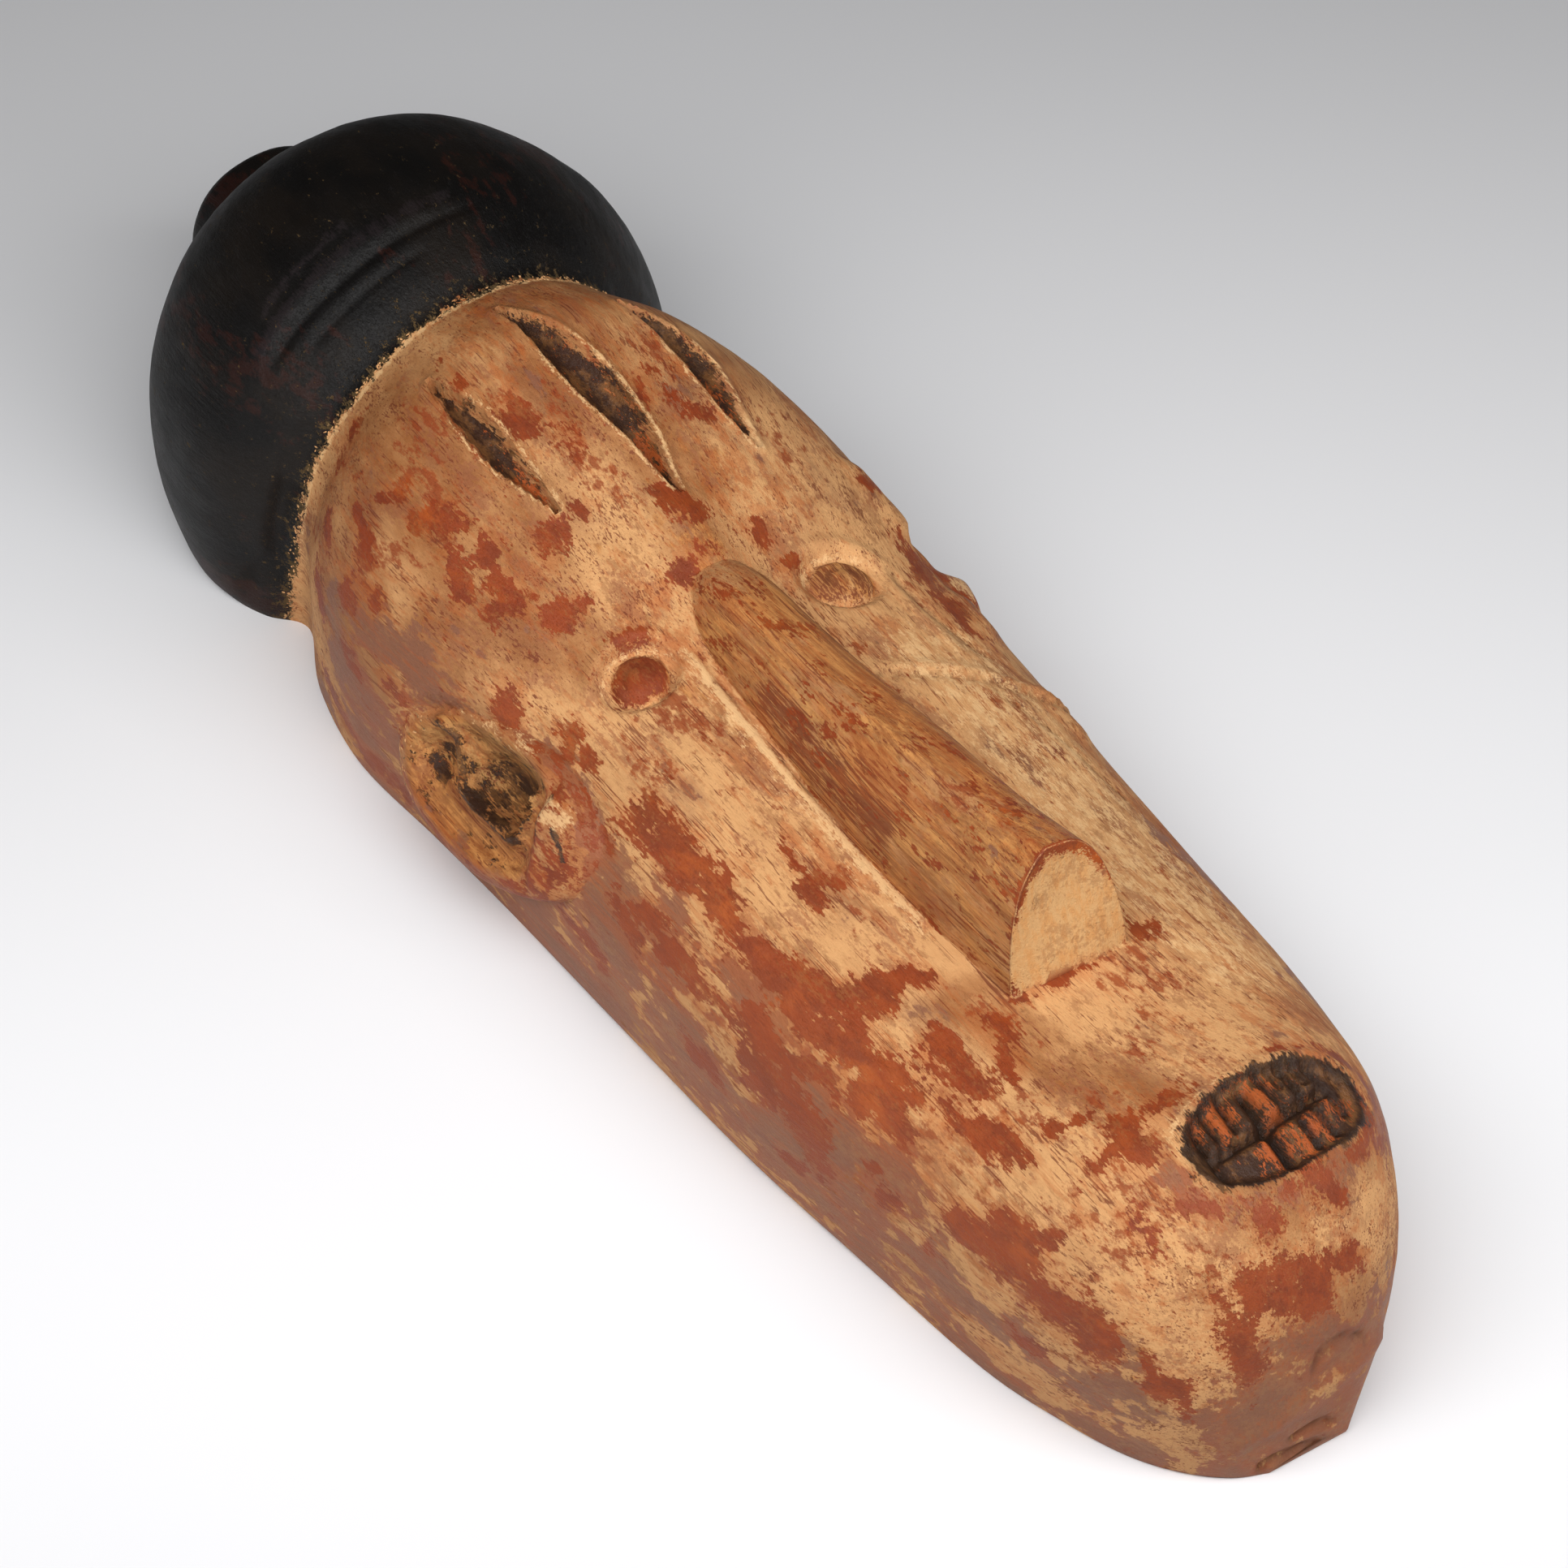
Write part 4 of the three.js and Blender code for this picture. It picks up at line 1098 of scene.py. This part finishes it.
    dull = blend_values(tree, worn, 0.74, 0.58)
    dull = blend_values(tree, mauve_mask, dull, 0.5)
    dull = blend_values(tree, ochre_mask, dull, 0.5)
    dull = blend_values(tree, dark_mask, dull, 0.38)
    gloss = blend_values(tree, noise(tree, along, 0.12, 3.0), 0.36, 0.64)
    gloss = blend_values(tree, dusty, gloss, 0.85)
    tree.links.new(blend_values(tree, cap_mask, dull, gloss), shader.inputs["Roughness"])

    powder = noise(tree, place, 0.8, 5.0, 0.72)
    height = plus(tree, times(powder, 0.4), times(wood["Streaks"], 0.16))
    rugged = times(noise(tree, along, 0.5, 5.0, 0.7), dark_mask)
    for layer, share in ((wood["Pores"], -0.12), (wood["Hair Lines"], -0.1), (ochre_mask, -0.16),
                         (mauve_mask, -0.12), (billows, 0.7), (dusty, 0.15), (rugged, 1.6),
                         (glow_mask, 0.4)):
        height = plus(tree, height, times(layer, share))
    roughen(tree, shader, height, 0.6, 0.001)
    shader.inputs["Specular IOR Level"].default_value = WOOD_GLOSS
    return material


def hollow_wood(paints, effects):
    """Bare wood darkened by handling, with the marks of the adze."""
    _, grain, speckle = effects
    material, tree, shader, place = new_material("hollowed_bare_wood")
    streaks = use_effect(tree, grain, {"Vector": place, "Line Scale": 0.4, "Drift": 0.8})
    colour = blend(tree, streaks["Streaks"], paints.bare_dark, paints.hollow)
    stains = use_effect(tree, speckle, {"Vector": place, "Scale": 0.1, "Cover": 0.5, "Patchiness": 0.5})
    colour = blend(tree, product(tree, stains["Mask"], 0.5), colour, paints.dark_cut)
    colour = blend(tree, product(tree, streaks["Pores"], 0.5), colour, paints.dark_cut)
    tree.links.new(colour, shader.inputs["Base Color"])
    tree.links.new(blend_values(tree, streaks["Streaks"], 0.62, 0.8), shader.inputs["Roughness"])
    height = minus(tree, streaks["Streaks"], streaks["Pores"])
    roughen(tree, shader, height, 0.5, 0.0006)
    return material


def kaolin_crumb(paints, effects):
    """Dry flakes of kaolin that sit on the soot."""
    speckle = effects[-1]
    material, tree, shader, place = new_material("kaolin_crumbs")
    dirt = use_effect(tree, speckle, {"Vector": place, "Scale": 0.35, "Cover": 0.6, "Patchiness": 0.4})
    colour = blend(tree, dirt["Mask"], paints.kaolin, paints.olive_dust)
    tree.links.new(colour, shader.inputs["Base Color"])
    tree.links.new(blend_values(tree, dirt["Mask"], 0.85, 0.7), shader.inputs["Roughness"])
    roughen(tree, shader, noise(tree, place, 2.0), 0.4, 0.0004)
    return material


def geometry_input(tree, name):
    named = add(tree, "GeometryNodeInputNamedAttribute", {"Name": name}, data_type="FLOAT")
    return named.outputs["Attribute"]


def set_inputs(modifier, values):
    sockets = {item.name: item.identifier for item in modifier.node_group.interface.items_tree
               if item.item_type == "SOCKET" and item.in_out == "INPUT"}
    for name, value in values.items():
        modifier[sockets[name]] = value


def hand_carving_nodes():
    """Moves the surface in and out: slow swells, shallow scoops of the adze, and a fine roughness."""
    tree, given, result = new_tree(
        "Hand Carving", "GeometryNodeTree",
        [("Geometry", "NodeSocketGeometry", None), ("Swell", "NodeSocketFloat", 0.0006),
         ("Scoop Depth", "NodeSocketFloat", 0.0008), ("Scoop Length", "NodeSocketFloat", 0.03),
         ("Hollow Scoop Depth", "NodeSocketFloat", 0.002), ("Seed", "NodeSocketFloat", CARVING_SEED),
         ("Outer Finish", "NodeSocketMaterial", None), ("Hollow Finish", "NodeSocketMaterial", None)],
        [("Geometry", "NodeSocketGeometry")])
    place = tree.nodes.new("GeometryNodeInputPosition").outputs[0]
    normal = tree.nodes.new("GeometryNodeInputNormal").outputs[0]
    drawn_out = add(tree, "ShaderNodeVectorMath", {0: place, 1: (1.0, 0.45, 1.0)},
                    operation="MULTIPLY").outputs[0]

    def wander(scale, detail):
        texture = add(tree, "ShaderNodeTexNoise", {"Vector": drawn_out, "W": given["Seed"],
                                                   "Scale": scale, "Detail": detail}, noise_dimensions="4D")
        return minus(tree, texture.outputs["Fac"], 0.5)

    slow = product(tree, wander(38.0, 2.0), 2.4)
    quick = product(tree, wander(170.0, 2.0), 0.7)
    swell = plus(tree, slow, quick)
    swell = product(tree, swell, given["Swell"])
    cell_scale = maths(tree, "DIVIDE", 0.6, given["Scoop Length"])
    cells = add(tree, "ShaderNodeTexVoronoi", {"Vector": drawn_out, "W": given["Seed"],
                                               "Scale": cell_scale, "Smoothness": 0.25},
                voronoi_dimensions="4D", feature="SMOOTH_F1")
    bowl = minus(tree, cells.outputs["Distance"], 0.5)
    hollow = geometry_input(tree, "hollow")
    cap = geometry_input(tree, "cap")
    cap_share = plus(tree, product(tree, cap, 0.7), 0.3)
    outer_depth = product(tree, given["Scoop Depth"], cap_share)
    depth = add(tree, "ShaderNodeMix", {0: hollow, 2: outer_depth, 3: given["Hollow Scoop Depth"]}).outputs[0]
    move = plus(tree, swell, product(tree, bowl, depth))
    move = product(tree, move, geometry_input(tree, "tool"))
    offset = add(tree, "ShaderNodeVectorMath", {0: normal, "Scale": move}, operation="SCALE").outputs[0]
    moved = add(tree, "GeometryNodeSetPosition", {"Geometry": given["Geometry"], "Offset": offset})
    real = add(tree, "GeometryNodeRealizeInstances", {"Geometry": moved.outputs[0]})
    outside = add(tree, "GeometryNodeSetMaterial",
                  {"Geometry": real.outputs[0], "Material": given["Outer Finish"]})
    chosen = add(tree, "FunctionNodeCompare", {0: hollow, 1: 0.5}, data_type="FLOAT",
                 operation="GREATER_THAN")
    inside = add(tree, "GeometryNodeSetMaterial",
                 {"Geometry": outside.outputs[0], "Selection": chosen.outputs[0],
                  "Material": given["Hollow Finish"]})
    tree.links.new(inside.outputs[0], result["Geometry"])
    return tree


def crumb_nodes():
    """Scatters small flat flakes where the crust mark is."""
    tree, given, result = new_tree(
        "Kaolin Crumbs", "GeometryNodeTree",
        [("Geometry", "NodeSocketGeometry", None), ("Crumb Size", "NodeSocketFloat", 0.0011),
         ("Crumbs per Square Metre", "NodeSocketFloat", 700000.0), ("Seed", "NodeSocketInt", CRUMB_SEED),
         ("Finish", "NodeSocketMaterial", None)],
        [("Geometry", "NodeSocketGeometry")])
    crust = geometry_input(tree, "crust")
    density = product(tree, maths(tree, "POWER", crust, 1.6), given["Crumbs per Square Metre"])
    spread = add(tree, "GeometryNodeDistributePointsOnFaces",
                 {"Mesh": given["Geometry"], "Density": density, "Seed": given["Seed"]},
                 distribute_method="RANDOM")
    flake = add(tree, "GeometryNodeMeshIcoSphere", {"Radius": given["Crumb Size"], "Subdivisions": 1})

    def drawn_vector(low, high):
        return add(tree, "FunctionNodeRandomValue", {"Min": low, "Max": high, "Seed": given["Seed"]},
                   data_type="FLOAT_VECTOR").outputs["Value"]

    placed = add(tree, "GeometryNodeInstanceOnPoints",
                 {"Points": spread.outputs["Points"], "Instance": flake.outputs["Mesh"],
                  "Rotation": spread.outputs["Rotation"],
                  "Scale": drawn_vector((0.3, 0.25, 0.08), (1.4, 0.9, 0.3))})
    turn = drawn_vector((-0.5, -0.5, 0.0), (0.5, 0.5, 6.28))
    turned_flakes = add(tree, "GeometryNodeRotateInstances",
                        {"Instances": placed.outputs[0], "Rotation": turn})
    real = add(tree, "GeometryNodeRealizeInstances", {"Geometry": turned_flakes.outputs[0]})
    finish = add(tree, "GeometryNodeSetMaterial",
                 {"Geometry": real.outputs[0], "Material": given["Finish"]})
    tree.links.new(finish.outputs[0], result["Geometry"])
    return tree


def keep_inside(mesh, low, high):
    """Holds every point within the box that the joined part has."""
    places = np.empty(len(mesh.vertices) * 3, np.float32)
    mesh.vertices.foreach_get("co", places)
    places = np.clip(places.reshape(-1, 3), low, high)
    mesh.vertices.foreach_set("co", places.ravel())
    mesh.update()


def length_setting(name, description, default, largest):
    return FloatProperty(name=name, description=description, default=default, min=0.0, max=largest,
                         subtype="DISTANCE", unit="LENGTH", precision=4)


def colour_setting(name, description, *screen_values):
    return FloatVectorProperty(name=name, description=description, default=paint(*screen_values), size=4,
                               min=0.0, max=1.0, subtype="COLOR")


def share_setting(name, description):
    return FloatProperty(name=name, description=f"{description}, as a share of their full depth",
                         default=1.0, min=0.0, max=1.2, subtype="FACTOR")


class MaskCarving(bpy.types.PropertyGroup):
    eye_depth: length_setting("Eye Ring Depth", "Depth of the ring cut round each eye", 0.0032, 0.008)
    mouth_depth: length_setting("Mouth Depth", "How far the mouth is sunk below the face", 0.0022, 0.006)
    brow_depth: share_setting("Brow Cuts", "Depth of the three cuts in the forehead")
    tooth_depth: share_setting("Teeth", "Depth of the cuts between the teeth")
    swell: length_setting("Swell", "How far the carved surface wanders", 0.0006, 0.002)
    scoop_depth: length_setting("Scoop Depth", "Depth of the tool marks on the cap", 0.0013, 0.003)
    scoop_length: length_setting("Scoop Length", "Length of one tool mark", 0.03, 0.1)
    hollow_scoop_depth: length_setting("Hollow Scoop Depth", "Depth of the tool marks inside", 0.002, 0.004)
    seam: length_setting("Seam", "Width of the worn join where the nose, ears and knob meet the face",
                         0.0035, 0.01)
    crumb_size: length_setting("Crumb Size", "Size of the crumbs of kaolin along the cap", 0.0007, 0.004)


class MaskPaints(bpy.types.PropertyGroup):
    kaolin: colour_setting("Kaolin", "The white clay", 206, 154, 102)
    kaolin_worn: colour_setting("Worn Kaolin", "The clay where hands have darkened it", 148, 92, 50)
    # Dusty Kaolin is partly dust and partly painted shade on the clay low on the sides.
    kaolin_dust_and_shade: colour_setting("Dusty Kaolin", "The clay low on the sides", 158, 114, 74)
    # Bright Kaolin is also the painted highlight on each ear's lobe.
    kaolin_bright: colour_setting("Bright Kaolin", "Clay caught along edges", 222, 178, 126)
    umber: colour_setting("Umber", "Brown stains on the clay", 140, 88, 52)
    stain: colour_setting("Stain", "Small dark specks on the clay", 140, 82, 56)
    # Mauve, low on the sides, is partly the red paint and partly painted shade.
    mauve: colour_setting("Mauve", "The red of the sides, under dust", 144, 78, 50)
    mauve_dull: colour_setting("Dull Mauve", "The sides where they are greyest", 130, 84, 62)
    ochre: colour_setting("Ochre", "Patches of red earth", 136, 56, 24)
    # On the top of the nose, Bright Ochre is partly painted light.
    ochre_bright: colour_setting("Bright Ochre", "Red earth where it is rubbed", 168, 80, 28)
    ochre_dark: colour_setting("Dark Ochre", "Grain that shows through the red", 106, 44, 26)
    bare: colour_setting("Bare Wood", "Wood with the clay worn off", 202, 140, 78)
    bare_dark: colour_setting("Dark Wood", "The darker streaks of the wood", 140, 80, 40)
    raw_wood: colour_setting("Raw Wood", "The broken end of the nose", 204, 160, 108)
    # Dark Cut also darkens the bowl, pit and ridge of each ear.
    dark_cut: colour_setting("Dark Cut", "Grime in the cuts and the ears", 50, 32, 24)
    dark_cut_worn: colour_setting("Worn Cut", "Grime where it is thin", 112, 74, 42)
    glow: colour_setting("Rubbed Cut", "Orange wood where the cuts are rubbed", 170, 82, 36)
    # The groove colour also paints the shadow under the ledge on the right cheek.
    groove: colour_setting("Groove", "The bottom of the deepest cuts", 34, 22, 16)
    soot: colour_setting("Soot", "The blackened cap", 7, 5, 4)
    soot_worn: colour_setting("Worn Soot", "The cap where it is rubbed", 20, 14, 9)
    # Soot Sheen paints a highlight on the cap along its crease
    soot_highlight: colour_setting("Soot Sheen", "The cap along its crease", 44, 36, 38)
    # Olive Wood is partly dirt, and on the nose's left facet partly painted shade.
    olive: colour_setting("Olive Wood", "Wood dulled by dirt", 172, 128, 76)
    olive_dark: colour_setting("Dark Olive Wood", "Streaks in the dull wood", 122, 80, 42)
    hollow: colour_setting("Hollow", "Bare wood inside", 140, 100, 64)
    olive_dust: colour_setting("Olive Dust", "Dirt on the crumbs", 104, 82, 50)


def power_setting(name, description, default):
    return FloatProperty(name=name, description=description, default=default, min=0.0, unit="POWER")


def place_setting(name, description, default):
    return FloatVectorProperty(name=name, description=description, default=default,
                               subtype="TRANSLATION", unit="LENGTH")


def turn_setting(name, description, degrees):
    return FloatProperty(name=name, description=description, default=math.radians(degrees),
                         subtype="ANGLE", unit="ROTATION")


def shift_setting(name, description, default):
    return FloatProperty(name=name, description=description, default=default, subtype="DISTANCE",
                         unit="LENGTH")


class Studio(bpy.types.PropertyGroup):
    floor: colour_setting("Floor", "Colour of the floor", 236, 236, 238)
    key_power: power_setting("Key Light", "Power of the large light overhead, in watts", 12.4)
    key_place: place_setting("Key Place", "Where the large light hangs", (-0.159, -0.374, 0.63))
    key_aim: place_setting("Key Aim", "Where the large light points", (0.219, 0.207, 0.23))
    front_power: power_setting("Front Light", "Power of the light in front, in watts", 0.8)
    front_place: place_setting("Front Place", "Where the front light stands", (-0.427, -1.392, 0.6))
    sky: FloatProperty(name="Room Light", description="Strength of the even light from all round",
                       default=0.06, min=0.0)
    azimuth: turn_setting("View Azimuth", "Turn of the camera from straight in front of the chin", -33)
    elevation: turn_setting("View Elevation", "Height of the camera above the floor", 42.4)
    distance: length_setting("View Distance", "Distance of the camera", 1.3527, 10)
    across: shift_setting("View Across", "Shift of the camera to its left", 0.00583)
    above: shift_setting("View Above", "Shift of the camera upwards", 0.02822)


class CARVING_OT_mask(bpy.types.Operator):
    """Carve the mask from one block, weather it and paint it"""

    bl_idname = "carving.mask"
    bl_label = "Carve Mask"

    def execute(self, context):
        scene = context.scene
        shape, paints = scene.mask_carving, scene.mask_paints
        piece, places, kinds, marks = carve_parts(shape)
        carry_marks(piece, places, kinds, marks, shape.seam)
        effects = shared_effects()
        carving = piece.modifiers.new("Hand Carving", "NODES")
        carving.node_group = hand_carving_nodes()
        set_inputs(carving, {"Swell": shape.swell, "Scoop Depth": shape.scoop_depth,
                             "Scoop Length": shape.scoop_length,
                             "Hollow Scoop Depth": shape.hollow_scoop_depth,
                             "Seed": CARVING_SEED, "Outer Finish": painted_wood(paints, effects),
                             "Hollow Finish": hollow_wood(paints, effects)})
        apply_modifiers(piece)
        keep_inside(piece.data, *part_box("mask"))
        piece.data.shade_smooth()
        piece.data.set_sharp_from_angle(angle=SHARPEST)
        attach(piece, "root")
        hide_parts("mask")
        return {"FINISHED"}


class CARVING_OT_crumbs(bpy.types.Operator):
    """Scatter crumbs of kaolin where the cap meets the face"""

    bl_idname = "carving.crumbs"
    bl_label = "Scatter Crumbs"

    def execute(self, context):
        scene = context.scene
        crumbs = bpy.data.objects.new("kaolin_crumbs", bpy.data.objects["carved_mask"].data.copy())
        scene.collection.objects.link(crumbs)
        scatter = crumbs.modifiers.new("Kaolin Crumbs", "NODES")
        scatter.node_group = crumb_nodes()
        set_inputs(scatter, {"Crumb Size": scene.mask_carving.crumb_size,
                             "Finish": kaolin_crumb(scene.mask_paints, shared_effects())})
        apply_modifiers(crumbs)
        keep_inside(crumbs.data, *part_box("mask"))
        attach(crumbs, "root")
        return {"FINISHED"}


class CARVING_OT_studio(bpy.types.Operator):
    """Lay the mask on a pale floor under soft light, and set up the camera"""

    bl_idname = "carving.studio"
    bl_label = "Set Up Studio"

    def execute(self, context):
        scene = context.scene
        studio = scene.mask_studio
        mesh = bpy.data.meshes.new("studio_floor")
        corners = ((-1, -1), (1, -1), (1, 1), (-1, 1))
        mesh.from_pydata([(x * FLOOR_REACH, y * FLOOR_REACH, 0) for x, y in corners], [], [(0, 1, 2, 3)])
        floor = bpy.data.objects.new("studio_floor", mesh)
        scene.collection.objects.link(floor)
        material, _, shader, _ = new_material("pale_floor")
        shader.inputs["Base Color"].default_value = studio.floor
        shader.inputs["Roughness"].default_value = FLOOR_ROUGHNESS
        shader.inputs["Specular IOR Level"].default_value = FLOOR_GLOSS
        mesh.materials.append(material)

        world = bpy.data.worlds.new("even_room_light")
        world.use_nodes = True
        world.node_tree.nodes["Background"].inputs["Color"].default_value = (1, 1, 1, 1)
        world.node_tree.nodes["Background"].inputs["Strength"].default_value = studio.sky
        scene.world = world
        for name, power, size, place, aim in (
            ("key_light", studio.key_power, KEY_SIZE, studio.key_place, studio.key_aim),
            ("front_light", studio.front_power, FRONT_SIZE, studio.front_place, (0.0, 0.0, 0.0)),
        ):
            lamp = bpy.data.lights.new(name, "AREA")
            lamp.energy, lamp.shape, (lamp.size, lamp.size_y) = power, "RECTANGLE", size
            light = bpy.data.objects.new(name, lamp)
            shine = (Vector(aim) - Vector(place)).normalized()
            side = Vector((math.cos(studio.azimuth), math.sin(studio.azimuth), 0))
            side = (side - shine * side.dot(shine)).normalized()
            turn = Matrix((side, shine.cross(-side), -shine)).transposed().to_4x4()
            light.matrix_world = Matrix.Translation(place) @ turn
            light.visible_camera = False
            scene.collection.objects.link(light)

        a, e = studio.azimuth, studio.elevation
        back = Vector((math.cos(e) * math.sin(a), -math.cos(e) * math.cos(a), math.sin(e)))
        right = Vector((math.cos(a), math.sin(a), 0))
        up = back.cross(right)
        lens = bpy.data.cameras.new("view_of_photo")
        lens.sensor_width, lens.angle = SENSOR_WIDTH, LENS_ANGLE
        lens.clip_start, lens.clip_end = 0.05, 50.0
        camera = bpy.data.objects.new("view_of_photo", lens)
        turn = Matrix((right, up, back)).transposed().to_4x4()
        spot = back * studio.distance - right * studio.across + up * studio.above - Vector(MIDDLE) * MM
        camera.matrix_world = Matrix.Translation(spot) @ turn
        scene.collection.objects.link(camera)
        scene.camera = camera
        scene.view_settings.view_transform = "Standard"
        return {"FINISHED"}


class CARVING_PT_mask(bpy.types.Panel):
    """The mask, its finishes and the studio"""

    bl_idname = "CARVING_PT_mask"
    bl_label = "Dogon Mask"
    bl_space_type = "VIEW_3D"
    bl_region_type = "UI"
    bl_category = "Mask"

    def draw(self, context):
        scene = context.scene
        for label, owner, operators in (
            ("Carving", scene.mask_carving, ("carving.mask", "carving.crumbs")),
            ("Paints", scene.mask_paints, ()),
            ("Studio", scene.mask_studio, ("carving.studio",)),
        ):
            box = self.layout.box()
            box.label(text=label)
            for name in type(owner).__annotations__:
                box.prop(owner, name)
            for operator in operators:
                box.operator(operator)


SETTINGS = (MaskCarving, MaskPaints, Studio)
CLASSES = (*SETTINGS, CARVING_OT_mask, CARVING_OT_crumbs, CARVING_OT_studio, CARVING_PT_mask)


def register():
    for kind in CLASSES:
        bpy.utils.register_class(kind)
    bpy.types.Scene.mask_carving = PointerProperty(type=MaskCarving)
    bpy.types.Scene.mask_paints = PointerProperty(type=MaskPaints)
    bpy.types.Scene.mask_studio = PointerProperty(type=Studio)


def unregister():
    del bpy.types.Scene.mask_studio, bpy.types.Scene.mask_paints, bpy.types.Scene.mask_carving
    for kind in reversed(CLASSES):
        bpy.utils.unregister_class(kind)


def main():
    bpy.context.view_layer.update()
    register()
    bpy.ops.carving.mask()
    bpy.ops.carving.crumbs()
    bpy.ops.carving.studio()


if __name__ == "__main__":
    main()
